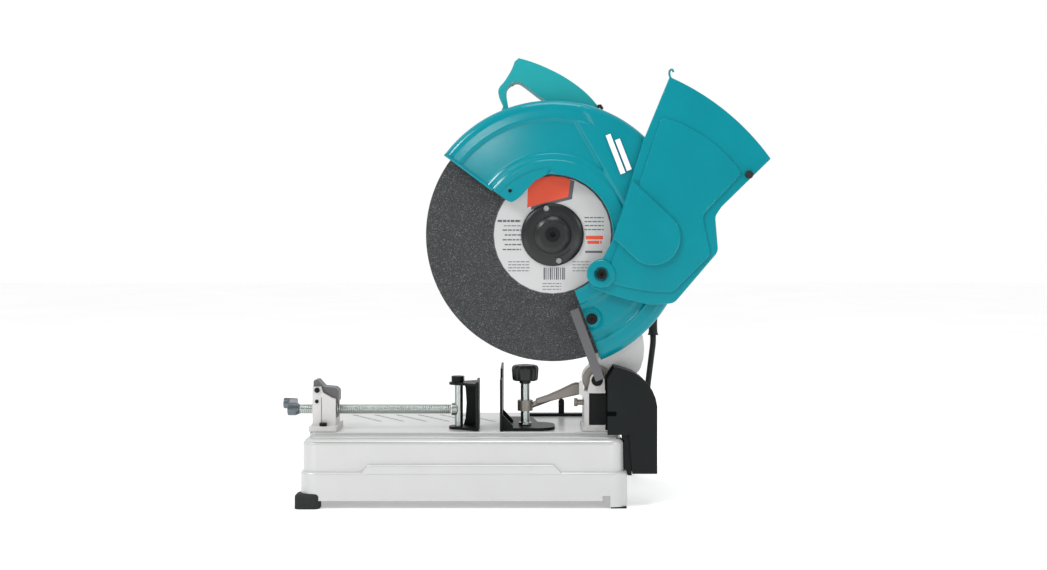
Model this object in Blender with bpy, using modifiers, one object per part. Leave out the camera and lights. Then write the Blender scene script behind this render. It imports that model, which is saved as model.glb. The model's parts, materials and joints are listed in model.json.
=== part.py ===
"""Abrasive chop saw for 355 mm wheels, as separate pieces placed in one frame.

X runs from the operator's end (-) to the spark guard (+), Z is up, and the wheel is on the -Y side.
The origin is on the floor, under the middle of the saw. Sizes are in millimetres; every helper
turns them into metres.
"""
import math

import bmesh
import bpy
from mathutils import Matrix, Vector

MM = 0.001
GAP = 0.3  # clearance between touching pieces

# Wheel and spindle
WHEEL = (43.6, -100.0, 376.5)
WHEEL_R = 177.5
WHEEL_T = 3.2
SPINDLE_R = 12.5
FLANGE_R = 44.0
WHEEL_FACE = WHEEL[1] - WHEEL_T / 2
WHEEL_BACK = WHEEL[1] + WHEEL_T / 2

# Head pivot
PIVOT = (107.0, -52.0, 171.2)
SHAFT_R = 8.0
BOSS_R = 20.0

# Fixed guard, a shell round the wheel
CASE_R = 188.0
CASE_WINDOW_R = 84.0
CASE_FRONT = -124.0
CASE_BACK = -78.0
CASE_START = math.radians(-68.8)
CASE_END = math.radians(143.5)
CASE_SHEET = 2.0

# Swinging cover in front of the guard
HINGE = (110.3, -128.0, 321.9)
BULGE = (181.3, -128.0, 372.2)
BULGE_R = 39.0
COVER_BACK = -125.5
COVER_DEPTH = 6.0

# Gears and motor
TOOTH_MODULE = 2.0
GEAR_TEETH = 47
PINION_TEETH = 9
MOTOR_ANGLE = math.radians(-30.3)
GEAR_PITCH_R = TOOTH_MODULE * GEAR_TEETH / 2
PINION_PITCH_R = TOOTH_MODULE * PINION_TEETH / 2
MOTOR_X = WHEEL[0] + (GEAR_PITCH_R + PINION_PITCH_R) * math.cos(MOTOR_ANGLE)
MOTOR_Z = WHEEL[2] + (GEAR_PITCH_R + PINION_PITCH_R) * math.sin(MOTOR_ANGLE)
MOTOR_R = 58.0
CASTING_FRONT = -76.0
CASTING_BACK = -44.0
GEAR_FRONT = -68.0
GEAR_BACK = -53.0
HOUSING_FRONT = -35.7
HOUSING_BACK = 70.0
CAP_BACK = 126.0

# Base
BASE_LOW_X = -306.0
BASE_HIGH_X = 147.0
BASE_HALF_Y = 145.0
BASE_CORNER_R = 26.0
SKIRT_STEP = 3.0
SKIRT_Z = 11.0
REAR_LEG_Z = 2.5
STEP_Z = 50.0
STRIP_Z = 94.0
TABLE_Z = 98.6
TABLE_NEAR_Y = -92.0
SHEET = 2.5

# Vise
SCREW_Y = -55.0
SCREW_Z = 126.7
SCREW_R = 7.2
POST_X = -90.0
JAW_FACE_X = -60.5
JAW_NEAR_Y = -90.0
JAW_FAR_Y = -20.0
HOLDER_X = (-297.0, -264.0)

# Fence
PILLAR = (5.4, -50.0)
FENCE_X = (-30.4, -27.0)
FENCE_Y = (-90.0, 60.0)
FENCE_NEAR_TOP = 171.7
FENCE_FAR_TOP = 184.0

# Cord
CORD_R = 4.4
CORD_EXIT = (196.3, 20.0, 228.0)
COIL_CENTRE = (85.0, 212.0)
COIL_R = 48.0
PLUG = (37.0, 212.0, 49.0)


def collection(name):
    made = bpy.data.collections.new(name)
    bpy.context.scene.collection.children.link(made)
    return made


for old in list(bpy.data.objects):
    bpy.data.objects.remove(old, do_unlink=True)
PARTS = collection("chop_saw")
CUTTERS = collection("cutters")


def material(name, colour, roughness, metallic=0.0):
    made = bpy.data.materials.new(name)
    made.use_nodes = True
    shader = made.node_tree.nodes["Principled BSDF"]
    shader.inputs["Base Color"].default_value = (*colour, 1.0)
    shader.inputs["Roughness"].default_value = roughness
    shader.inputs["Metallic"].default_value = metallic
    return made


TEAL = ("teal_paint", (0.0, 0.30, 0.37), 0.35)
TEAL_PLASTIC = ("teal_plastic", (0.02, 0.34, 0.36), 0.5)
SILVER = ("silver_paint", (0.60, 0.62, 0.64), 0.4, 0.3)
CAST = ("cast_aluminium", (0.66, 0.66, 0.64), 0.45, 0.7)
STEEL = ("plated_steel", (0.62, 0.62, 0.60), 0.28, 1.0)
BLACK = ("black_paint", (0.015, 0.016, 0.018), 0.45)
RUBBER = ("black_rubber", (0.02, 0.022, 0.022), 0.75)
GREY = ("grey_paint", (0.25, 0.25, 0.26), 0.5)
GRIT = ("bonded_abrasive", (0.045, 0.047, 0.048), 0.95)
COPPER = ("copper_winding", (0.50, 0.20, 0.08), 0.4, 0.8)


def world(point):
    return Vector(point) * MM


def add(name, mesh, finish):
    """A named part with its own material."""
    made = bpy.data.objects.new(name, mesh)
    mesh.materials.clear()
    mesh.materials.append(material(name + "_" + finish[0], *finish[1:]))
    mesh.shade_smooth()
    mesh.set_sharp_from_angle(angle=math.radians(35))
    PARTS.objects.link(made)
    return made


def hide(shape):
    """Turn an object into a cutter."""
    for held in list(shape.users_collection):
        held.objects.unlink(shape)
    CUTTERS.objects.link(shape)
    shape.hide_render = True
    shape.display_type = "WIRE"
    return shape


def boolean(piece, shape, operation):
    change = piece.modifiers.new(operation.lower(), "BOOLEAN")
    change.operation = operation
    change.solver = "EXACT"
    change.object = hide(shape)


def cut(piece, *shapes):
    for shape in shapes:
        boolean(piece, shape, "DIFFERENCE")
    return piece


def join(piece, *shapes):
    for shape in shapes:
        boolean(piece, shape, "UNION")
    return piece


def block(name, finish, low, high, bevel=0.0):
    """A box between two corners."""
    low, high = world(low), world(high)
    form = bmesh.new()
    bmesh.ops.create_cube(form, size=1.0)
    size = high - low
    bmesh.ops.scale(form, vec=size, verts=form.verts)
    bmesh.ops.translate(form, vec=(low + high) / 2, verts=form.verts)
    mesh = bpy.data.meshes.new(name)
    form.to_mesh(mesh)
    form.free()
    made = add(name, mesh, finish)
    if bevel:
        rounding = made.modifiers.new("edges", "BEVEL")
        rounding.width = bevel * MM
        rounding.segments = 2
    return made


def aligned(axis, centre):
    """A frame whose Z axis points along axis, at a point."""
    turn = Vector((0, 0, 1)).rotation_difference(Vector(axis)).to_matrix().to_4x4()
    return Matrix.Translation(world(centre)) @ turn


def rod(name, finish, start, axis, length, radius, end_radius=None, sides=24):
    """A cylinder, cone or prism from a point along an axis."""
    end_radius = radius if end_radius is None else end_radius
    form = bmesh.new()
    bmesh.ops.create_cone(
        form, cap_ends=True, segments=sides, radius1=radius * MM, radius2=end_radius * MM, depth=length * MM
    )
    middle = Vector(start) + Vector(axis).normalized() * length / 2
    bmesh.ops.transform(form, matrix=aligned(axis, middle), verts=form.verts)
    mesh = bpy.data.meshes.new(name)
    form.to_mesh(mesh)
    form.free()
    return add(name, mesh, finish)


def turned(name, finish, profile, axis, origin, steps=32):
    """A turned piece. The profile is (radius, distance along the axis), from the far end back to the
    start down its outer side; a profile that closes on itself makes a ring."""
    mesh = bpy.data.meshes.new(name)
    points = [(radius * MM, 0.0, along * MM) for radius, along in profile]
    edges = [(i, i + 1) for i in range(len(points) - 1)]
    if profile[0][0] > 0:
        edges.append((len(points) - 1, 0))
    mesh.from_pydata(points, edges, [])
    made = add(name, mesh, finish)
    made.matrix_world = aligned(axis, origin)
    spin = made.modifiers.new("turn", "SCREW")
    spin.steps = steps
    spin.render_steps = steps
    spin.use_merge_vertices = True
    spin.merge_threshold = 0.00001
    spin.use_smooth_shade = True
    return made


def ring(name, finish, inner, outer, start, end, x, z, steps=32):
    """A plain ring about an axis along Y."""
    profile = [(inner, end - start), (outer, end - start), (outer, 0), (inner, 0)]
    return turned(name, finish, profile, (0, 1, 0), (x, start, z), steps)


def arc(centre, radius, start, end, count):
    """Points on an arc, angles in degrees."""
    angles = [math.radians(start + (end - start) * i / count) for i in range(count + 1)]
    return [(centre[0] + radius * math.cos(a), centre[1] + radius * math.sin(a)) for a in angles]


def through(a, b, c, count):
    """Points on the arc through three points."""
    (ax, az), (bx, bz), (cx, cz) = a, b, c
    d = 2 * (ax * (bz - cz) + bx * (cz - az) + cx * (az - bz))
    sa, sb, sc = ax * ax + az * az, bx * bx + bz * bz, cx * cx + cz * cz
    ux = (sa * (bz - cz) + sb * (cz - az) + sc * (az - bz)) / d
    uz = (sa * (cx - bx) + sb * (ax - cx) + sc * (bx - ax)) / d
    first = math.degrees(math.atan2(az - uz, ax - ux))
    last = math.degrees(math.atan2(cz - uz, cx - ux))
    turn = (last - first + 180) % 360 - 180
    return arc((ux, uz), math.hypot(ax - ux, az - uz), first, first + turn, count)


def rounded(points, radii, steps=4):
    """A polygon whose corners are rounded, each by its own radius."""
    out = []
    for i, (point, radius) in enumerate(zip(points, radii)):
        here = Vector(point)
        before = (Vector(points[i - 1]) - here).normalized()
        after = (Vector(points[(i + 1) % len(points)]) - here).normalized()
        if not radius:
            out.append(tuple(here))
            continue
        half = before.angle(after) / 2
        reach = radius / math.tan(half)
        for k in range(steps + 1):
            t = k / steps
            a = here + before * reach * (1 - t)
            b = here + after * reach * t
            out.append(tuple(a * (1 - t) + b * t))
    return out


def rounded_rectangle(low, high, radius):
    (x0, z0), (x1, z1) = low, high
    return rounded([(x0, z0), (x1, z0), (x1, z1), (x0, z1)], [radius] * 4, 5)


def plate(name, finish, outlines, start, end, flat=False, bevel=0.0):
    """A flat outline with its holes, between two Y planes, or between two heights when flat."""
    curve = bpy.data.curves.new(name, "CURVE")
    curve.dimensions = "2D"
    curve.fill_mode = "BOTH"
    curve.extrude = abs(end - start) / 2 * MM
    for outline in outlines:
        line = curve.splines.new("POLY")
        line.points.add(len(outline) - 1)
        for point, (x, z) in zip(line.points, outline):
            point.co = (x * MM, z * MM, 0.0, 1.0)
        line.use_cyclic_u = True
    shape = bpy.data.objects.new(name + "_outline", curve)
    PARTS.objects.link(shape)
    middle = (start + end) / 2 * MM
    if flat:
        shape.matrix_world = Matrix.Translation((0, 0, middle))
    else:
        shape.matrix_world = Matrix.Translation((0, middle, 0)) @ Matrix.Rotation(math.pi / 2, 4, "X")
    place = shape.matrix_world.copy()
    bpy.context.view_layer.update()
    made = add(name, welded(shape), finish)
    made.matrix_world = place
    if bevel:
        rounding = made.modifiers.new("edges", "BEVEL")
        rounding.width = bevel * MM
        rounding.segments = 2
    return made


def welded(shape):
    """A curve object's evaluated mesh, with its caps welded; the curve is removed."""
    graph = bpy.context.evaluated_depsgraph_get()
    mesh = bpy.data.meshes.new_from_object(shape.evaluated_get(graph))
    form = bmesh.new()
    form.from_mesh(mesh)
    bmesh.ops.remove_doubles(form, verts=form.verts, dist=0.000001)
    bmesh.ops.recalc_face_normals(form, faces=form.faces)
    form.to_mesh(mesh)
    form.free()
    bpy.data.objects.remove(shape, do_unlink=True)
    return mesh


def tube(name, finish, points, radius, resolution=2):
    """A round bar along points."""
    curve = bpy.data.curves.new(name, "CURVE")
    curve.dimensions = "3D"
    curve.bevel_depth = radius * MM
    curve.bevel_resolution = resolution
    curve.use_fill_caps = True
    line = curve.splines.new("POLY")
    line.points.add(len(points) - 1)
    for point, place in zip(line.points, points):
        point.co = (*world(place), 1.0)
    shape = bpy.data.objects.new(name + "_line", curve)
    PARTS.objects.link(shape)
    bpy.context.view_layer.update()
    return add(name, welded(shape), finish)


def smooth_route(knots, spacing):
    """Points along a Catmull-Rom curve through the knots, about spacing apart."""
    ends = [2 * Vector(knots[0]) - Vector(knots[1]), 2 * Vector(knots[-1]) - Vector(knots[-2])]
    line = [ends[0], *[Vector(k) for k in knots], ends[1]]
    out = []
    for a, b, c, d in zip(line, line[1:], line[2:], line[3:]):
        count = max(2, round((c - b).length / spacing))
        for i in range(count):
            t = i / count
            out.append(
                0.5 * (2 * b + (c - a) * t + (2 * a - 5 * b + 4 * c - d) * t**2 + (3 * b - a - 3 * c + d) * t**3)
            )
    out.append(Vector(knots[-1]))
    return [tuple(p) for p in out]


def pivot(name, point):
    """An empty on a joint's axis."""
    empty = bpy.data.objects.new(name, None)
    empty.location = world(point)
    PARTS.objects.link(empty)
    return empty


def attach(empty, *pieces):
    """Parent pieces to a joint's empty where they stand."""
    for piece in pieces:
        piece.parent = empty
        piece.matrix_parent_inverse = Matrix.Translation(empty.location).inverted()


def hex_bolt(name, start, axis, shank_r, shank, head_r, head):
    """A hex bolt whose shank starts at a point and whose head ends it."""
    bolt = rod(name, BLACK, start, axis, shank + head / 2, shank_r, sides=16)
    top = Vector(start) + Vector(axis).normalized() * shank
    return join(bolt, rod(name + "_head", BLACK, top, axis, head, head_r, sides=6))


def make_base():
    """The pressed-steel pan: a narrower upper wall over a stepped skirt, open underneath."""
    inner_y = BASE_HALF_Y - SKIRT_STEP
    upper = rounded_rectangle((BASE_LOW_X + SKIRT_STEP, -inner_y), (BASE_HIGH_X - 5, inner_y), BASE_CORNER_R)
    lower = rounded_rectangle((BASE_LOW_X, -BASE_HALF_Y), (BASE_HIGH_X, BASE_HALF_Y), BASE_CORNER_R)
    pan = plate("base_pan", SILVER, [upper], 30, STRIP_Z, flat=True)
    join(pan, plate("skirt", SILVER, [lower], REAR_LEG_Z, STEP_Z, flat=True))
    panel = [(-212, -BASE_HALF_Y), (46, -BASE_HALF_Y), (46, BASE_HALF_Y), (-212, BASE_HALF_Y)]
    join(pan, plate("side_panels", SILVER, [panel], STEP_Z - 1, STEP_Z + 12, flat=True))
    table = rounded_rectangle((BASE_LOW_X + 6, TABLE_NEAR_Y), (BASE_HIGH_X - 9, inner_y - 6), 10)
    join(pan, plate("table", SILVER, [table], STRIP_Z - 1, TABLE_Z, flat=True))
    wall = SKIRT_STEP + SHEET
    hollow = rounded_rectangle(
        (BASE_LOW_X + wall, wall - BASE_HALF_Y), (BASE_HIGH_X - wall - 3, BASE_HALF_Y - wall), BASE_CORNER_R - wall
    )
    cut(pan, plate("hollow", SILVER, [hollow], -5, STRIP_Z - SHEET, flat=True))
    skirt_hollow = rounded_rectangle(
        (BASE_LOW_X + SHEET, SHEET - BASE_HALF_Y), (BASE_HIGH_X - SHEET, BASE_HALF_Y - SHEET), BASE_CORNER_R - SHEET
    )
    cut(pan, plate("skirt_hollow", SILVER, [skirt_hollow], -5, STEP_Z - SHEET, flat=True))
    table_hollow = rounded_rectangle(
        (BASE_LOW_X + 6 + SHEET, TABLE_NEAR_Y + SHEET), (BASE_HIGH_X - 9 - SHEET, inner_y - 6 - SHEET), 8
    )
    cut(pan, plate("table_hollow", SILVER, [table_hollow], STEP_Z, TABLE_Z - SHEET, flat=True))
    cut(pan, block("skirt_edge", SILVER, (-330, -160, -5), (111.2, 160, SKIRT_Z)))
    cut(pan, block("skirt_notch", SILVER, (111.2, -160, -5), (122.0, 160, 18.0)))
    for i, y in enumerate((-BASE_HALF_Y, BASE_HALF_Y)):
        side = math.copysign(1, y)
        foot = block(
            "front_foot_" + ("near", "far")[i], RUBBER,
            (-311.5, min(y + 3.5 * side, y - 27 * side), 0), (-277, max(y + 3.5 * side, y - 27 * side), 20.5), 3
        )
        room = rounded_rectangle(
            (BASE_LOW_X - GAP, -BASE_HALF_Y - GAP), (BASE_HIGH_X, BASE_HALF_Y + GAP), BASE_CORNER_R
        )
        cut(foot, plate("foot_room", RUBBER, [room], SKIRT_Z - GAP, 60, flat=True))
        block(
            "rear_foot_" + ("near", "far")[i], RUBBER,
            (123, min(y - 3 * side, y - 24 * side), 0), (145, max(y - 3 * side, y - 24 * side), REAR_LEG_Z - GAP)
        )


def make_bracket():
    """Two cheeks on a base plate, the shaft through them, and the spring round the shaft."""
    low = TABLE_Z + GAP
    prong = [(81.5, 152), (81.5, 168), (84, 171), (87, 168), (88, 157), (93, 155)]
    near = [(89, low), (89, 146), *prong, *arc((PIVOT[0], PIVOT[2]), 10.5, 190, 5, 7), (118, 155), (118, low)]
    far = [(89, low), *arc((PIVOT[0], PIVOT[2]), 14, 180, 5, 9), (118, low)]
    bracket = plate("pivot_bracket", CAST, [near], -91, -83)
    join(bracket, plate("far_cheek", CAST, [far], -19, -11))
    cut(bracket, block("pad_room", CAST, (95.5, -95, 108), (120, -84, 153)))
    block("bracket_pad", BLACK, (95.8, -89, 108.3), (120.6, -84.3, 152.7), 0.5)
    join(bracket, block("bracket_base", CAST, (86, -91, low), (118, -11, low + 6)))
    join(bracket, block("bracket_web", CAST, (89, -84, low + 2), (95, -18, 146)))
    cut(bracket, rod("shaft_hole", CAST, (PIVOT[0], -100, PIVOT[2]), (0, 1, 0), 100, SHAFT_R + GAP))
    cut(bracket, rod("stop_hole", CAST, (80, -70, 138), (1, 0, 0), 30, 4 + GAP))
    turned("pivot_shaft", BLACK, [(0, 84), (SHAFT_R, 84), (SHAFT_R, 0), (0, 0)], (0, 1, 0),
           (PIVOT[0], -92, PIVOT[2]), 24)
    hex_bolt("stop_bolt", (100, -70, 138), (-1, 0, 0), 4, 20, 6.5, 5)
    turns, per_turn, coil_r = 3, 10, 12.5
    first, last = -33.5, -22.0
    helix = [
        (
            PIVOT[0] + coil_r * math.cos(2 * math.pi * i / per_turn),
            first + (last - first) * i / (turns * per_turn),
            PIVOT[2] + coil_r * math.sin(2 * math.pi * i / per_turn),
        )
        for i in range(int(turns * per_turn) + 1)
    ]
    tube("return_spring", STEEL, helix, 1.3)


def chute_outline(inset, open_side):
    """The spark guard's side, shrunk by the sheet's thickness or pushed out past its open sides."""
    top = through((146.8, 188.9 - inset), (172, 173.5 - inset), (188.0 - inset, 139.0), 6)
    side = 119.0 - open_side
    return [
        (side, 99.3 - open_side), (148.6 - open_side, 99.3 - open_side),
        (153.2 - open_side, 45.5 - open_side), (188.0 - inset, 45.5 - open_side),
        *reversed(top), (129.6, 193.5 - inset), (side, 177.0 if not open_side else 193.5 - inset),
    ]


def make_spark_guard():
    guard = plate("spark_guard", BLACK, [chute_outline(0, 0)], -130, CASE_BACK - 1)
    hollow = chute_outline(1.5, 6)
    cut(guard, plate("chute_hollow", BLACK, [hollow], -128.5, CASE_BACK - 2.5))
    cut(guard, block("chute_notch", BLACK, (110, -135, 125.5), (131.5, -125, 131.6)))
    back = CASE_BACK - 1
    join(guard, block("back_edge", BLACK, (142.7, back - 1.5, 51), (154, back, 100)))


def make_vise():
    """Holder with its half nut, the screw with its crank, and the swivelling jaw."""
    low = TABLE_Z + GAP
    x0, x1 = HOLDER_X
    side = [(x0, low), (x0, 160.5), (x0 + 12, 160.5), (x0 + 15, 152), (x1 - 6, 145), (x1, 143), (x1, low)]
    holder = plate("screw_holder", CAST, [side], -77.5, -32.5)
    join(holder, block("holder_flange", CAST, (x0 - 3, -92, low), (x1 + 3, -18, low + 7)))
    cut(holder, block("nut_room", CAST, (x0 + 4, -71, 115), (x1 + 10, -39, 175)))
    cut(holder, block("lever_room", CAST, (x0 - 5, -71, 148), (x0 + 10, -39, 175)))
    cut(holder, rod("screw_room", CAST, (x0 - 10, SCREW_Y, SCREW_Z), (1, 0, 0), 60, SCREW_R + GAP))
    cut(holder, rod("pin_hole", CAST, (-290, -95, 156), (0, 1, 0), 90, 3 + GAP, sides=12))
    for side, y in (("near", -84.5), ("far", -25.5)):
        cut(holder, rod("bolt_hole", CAST, (-280.5, y, 90), (0, 0, 1), 18.0, 5))
    profile = [(0, 52), (3, 52), (3, 3), (3.8, 3), (3.8, 0), (0, 0)]
    turned("nut_pin", BLACK, profile, (0, 1, 0), (-290, -80.8, 156), 12)
    lever = [(-295, 150), (-297, 158), (-296.5, 169), (-291, 170), (-282, 160), (-266, 158.5), (-261, 154),
             (-261, 139), (-266, 136), (-280, 136.5), (-286, 148)]
    nut_lever = plate("nut_lever", GREY, [lever], -70, -40, bevel=1)
    cut(nut_lever, rod("lever_hole", GREY, (-290, -95, 156), (0, 1, 0), 90, 3 + GAP, sides=12))
    screw = rod("vise_screw", STEEL, (-319, SCREW_Y, SCREW_Z), (1, 0, 0), 218.5, SCREW_R)
    hub = [(0, 16), (7.2, 16), (9.5, 11), (9.5, 0), (0, 0)]
    crank = turned("vise_crank", STEEL, hub, (1, 0, 0), (-335.0, SCREW_Y, SCREW_Z), 20)
    reach = SCREW_Y + 73
    arm = [(-333, SCREW_Y - 8), (-323, SCREW_Y - 8), (-322, SCREW_Y + 8), (-335, reach), (-345, reach)]
    join(crank, plate("crank_arm", STEEL, [arm], SCREW_Z - 6.5, SCREW_Z + 6.5, flat=True))
    knob = [(0, 20), (7.6, 20), (8.2, 18), (7.2, 0), (0, 0)]
    join(crank, turned("crank_grip", STEEL, knob, (-1, 0, 0), (-334, reach, SCREW_Z), 20))
    post = rod("vise_post", STEEL, (POST_X, SCREW_Y, low + 1), (0, 0, 1), 70, 6)
    join(post, rod("post_nut", STEEL, (POST_X, SCREW_Y, 166), (0, 0, 1), 8, 9, sides=6))
    join(post, rod("post_boss", STEEL, (POST_X - 10.2, SCREW_Y, SCREW_Z), (1, 0, 0), 8, 9))
    jaw = block("vise_jaw", BLACK, (JAW_FACE_X - 4, JAW_NEAR_Y, low), (JAW_FACE_X, JAW_FAR_Y, 168.5), 1.5)
    for z in (low, 162.0):
        flange = [(JAW_FACE_X - 3, JAW_NEAR_Y + 3), (JAW_FACE_X - 3, JAW_FAR_Y - 3),
                  *arc((POST_X, SCREW_Y), 14, 90, 270, 8)]
        join(jaw, plate("jaw_flange", BLACK, [flange], z, z + 3.5, flat=True))
    web = [(JAW_FACE_X - 2, low + 2), (POST_X + 6, low + 2), (POST_X + 9, 112), (POST_X + 10.5, 134),
           (POST_X + 9, 156), (POST_X + 6, 164), (JAW_FACE_X - 2, 164)]
    join(jaw, plate("jaw_web", BLACK, [web], -40, -36.5))
    cut(jaw, rod("post_hole", BLACK, (POST_X, SCREW_Y, 90), (0, 0, 1), 90, 6 + GAP))
    turn = pivot("vise_screw_axis", (POST_X, SCREW_Y, SCREW_Z))
    attach(turn, screw, crank)
    attach(pivot("post_axis", (POST_X, SCREW_Y, TABLE_Z)), jaw, post)
    attach(pivot("nut_axis", (-290, SCREW_Y, 156)), nut_lever)
    for side, y in (("near", -84.5), ("far", -25.5)):
        hex_bolt("holder_bolt_" + side, (-280.5, y, low + 1), (0, 0, 1), 4.2, 6.5, 5.8, 4)


def make_fence():
    """The angle plate behind the work, its pillar, knob and lever, and the lock plate."""
    low = TABLE_Z + GAP
    x0, x1 = FENCE_X
    fence = block("fence_plate", BLACK, (x0, FENCE_Y[0], low), (x1, FENCE_Y[1], FENCE_FAR_TOP), 1)
    cut(fence, block("near_step", BLACK, (x0 - 5, FENCE_Y[0] - 5, FENCE_NEAR_TOP), (x1 + 5, -45, 200)))
    foot = [(x0 + 1, -84), (30, -84), *arc((24, -60), 24, -90, 0, 5)[1:], (48, -40),
            *arc((24, -38), 24, 0, 90, 5)[1:], (16, 50), (x0 + 1, 50)]
    join(fence, plate("fence_foot", BLACK, [foot], low, low + 4, flat=True))
    gusset = [(x1 - 1, low + 2), (-12, low + 2), (-12, 106), (x1 - 1, 123)]
    for y in (-82, -18):
        join(fence, plate("gusset", BLACK, [gusset], y, y + 4))
    cut(fence, rod("pillar_hole", BLACK, (*PILLAR, 90), (0, 0, 1), 30, 6.5 + GAP))
    stud = [(0, 88), (4, 88), (4, 64), (6.4, 64), (6.4, 8.2), (9.5, 8.2), (9.5, 4.6), (6.4, 4.6), (6.4, 0), (0, 0)]
    turned("fence_pillar", STEEL, stud, (0, 0, 1), (*PILLAR, low), 24)
    fluted = []
    for i in range(40):
        a = 2 * math.pi * i / 40
        radius = 18.4 + 1.0 * math.cos(10 * a)
        fluted.append((PILLAR[0] + radius * math.cos(a), PILLAR[1] + radius * math.sin(a)))
    knob = plate("fence_knob", BLACK, [fluted], 167, 190, flat=True)
    join(knob, rod("knob_collar", BLACK, (*PILLAR, 163.3), (0, 0, 1), 5, 8))
    cut(knob, rod("stud_hole", BLACK, (*PILLAR, 155), (0, 0, 1), 32.3, 4 + GAP))
    lever = rod("fence_lever", STEEL, (*PILLAR, 124), (0, 0, 1), 15, 11)
    join(lever, rod("lever_arm", STEEL, (13, -50, 130.5), (0.925, 0, 0.38), 69, 4.0, 6.5, sides=20))
    cut(lever, rod("clamp_hole", BLACK, (*PILLAR, 110), (0, 0, 1), 50, 6.4 + GAP))
    lock = block("fence_lock_plate", BLACK, (7, 84, low), (95, 100, low + 4))
    tab = [(57, low + 2), (66, low + 2), *arc((61.5, 121), 4.5, 0, 180, 6)]
    join(lock, plate("lock_tab", BLACK, [tab], 90, 94))
    attach(pivot("fence_axis", (*PILLAR, TABLE_Z)), fence)
    attach(pivot("knob_axis", (*PILLAR, 163)), knob)
    attach(pivot("lever_axis", (*PILLAR, 132)), lever)


def annulus_points(radius, start, end, count):
    return arc((WHEEL[0], WHEEL[2]), radius, start, end, count)


def make_blade_case(head):
    """The fixed guard: a C-shaped sheet section turned round the wheel, open at the bottom."""
    section = [
        (CASE_WINDOW_R, -3.5), (106, -3.5), (112, -1.5), (161, -1.5), (178, -3.0),
        (CASE_R, -13), (CASE_R, -(CASE_BACK - CASE_FRONT)), (62, -(CASE_BACK - CASE_FRONT)),
    ]
    mesh = bpy.data.meshes.new("blade_case")
    points = [(radius * MM, 0.0, depth * MM) for radius, depth in section]
    mesh.from_pydata(points, [(i, i + 1) for i in range(len(points) - 1)], [])
    case = add("blade_case", mesh, TEAL)
    start = Matrix.Rotation(CASE_START, 4, "Z")
    stand = Matrix.Translation(world((WHEEL[0], CASE_FRONT, WHEEL[2]))) @ Matrix.Rotation(math.pi / 2, 4, "X")
    case.matrix_world = stand @ start
    spin = case.modifiers.new("turn", "SCREW")
    spin.angle = CASE_END - CASE_START
    spin.steps = 26
    spin.render_steps = 26
    spin.use_merge_vertices = False
    spin.use_normal_flip = True
    sheet = case.modifiers.new("sheet", "SOLIDIFY")
    sheet.thickness = CASE_SHEET * MM
    sheet.offset = 1
    lug = [*annulus_points(86, 96, 138, 6), *annulus_points(71, 134, 131, 1), *annulus_points(80, 104, 103, 1)]
    lug_plate = plate("case_lug", TEAL, [lug], CASE_FRONT + 3.6, CASE_FRONT + 5.4)
    join(case, lug_plate)
    cut(case, rod("hinge_hole", TEAL, (HINGE[0], -140, HINGE[2]), (0, 1, 0), 30, 5 + GAP))
    cut(case, rod("lug_hole", TEAL, (-15.7, -140, 437.4), (0, 1, 0), 40, 2.4, sides=12))
    attach(head, case)
    bolt = hex_bolt("guard_bolt", (97.4, CASE_FRONT - GAP - 4.5, 259.9), (0, -1, 0), 8, 1.5, 6, 3)
    cut(bolt, rod("bolt_socket", BLACK, (97.4, -140, 259.9), (0, 1, 0), 8.5, 2.6, sides=6))
    bar_low, bar_high = Vector((109.0, 175.1)), Vector((73.0, 272.7))
    along = (bar_high - bar_low).normalized()
    across = Vector((along.y, -along.x)) * 6.3
    outline = [tuple(p) for p in (bar_low - across, bar_low + across, bar_high + across, bar_high - across)]
    deflector = plate("spark_deflector", GREY, [outline], -127.6, -126.1)
    attach(head, bolt, deflector)


def cover_outline():
    """The swinging cover, shown open: a long arc at the rim, a round end at the hinge."""
    rim = through((205.1, 594.8), (291.0, 540.7), (345.2, 481.3), 8)
    low = through((180.6, 279.0), (140, 288), (96.0, 303.5), 3)
    heel = through((90.7, 324.5), (98, 337), (113.0, 344.0), 3)
    corners = {(277.2, 415.0): 0, (268.3, 401.7): 14, (272.4, 352.7): 16, (211.5, 281.5): 16}
    edge = [(126.2, 368.8), (151.2, 451.0), (168.5, 505.7)]
    points = [*rim, *corners, *low, *heel, *edge]
    return rounded(points, [corners.get(point, 0) for point in points], 3)


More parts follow.
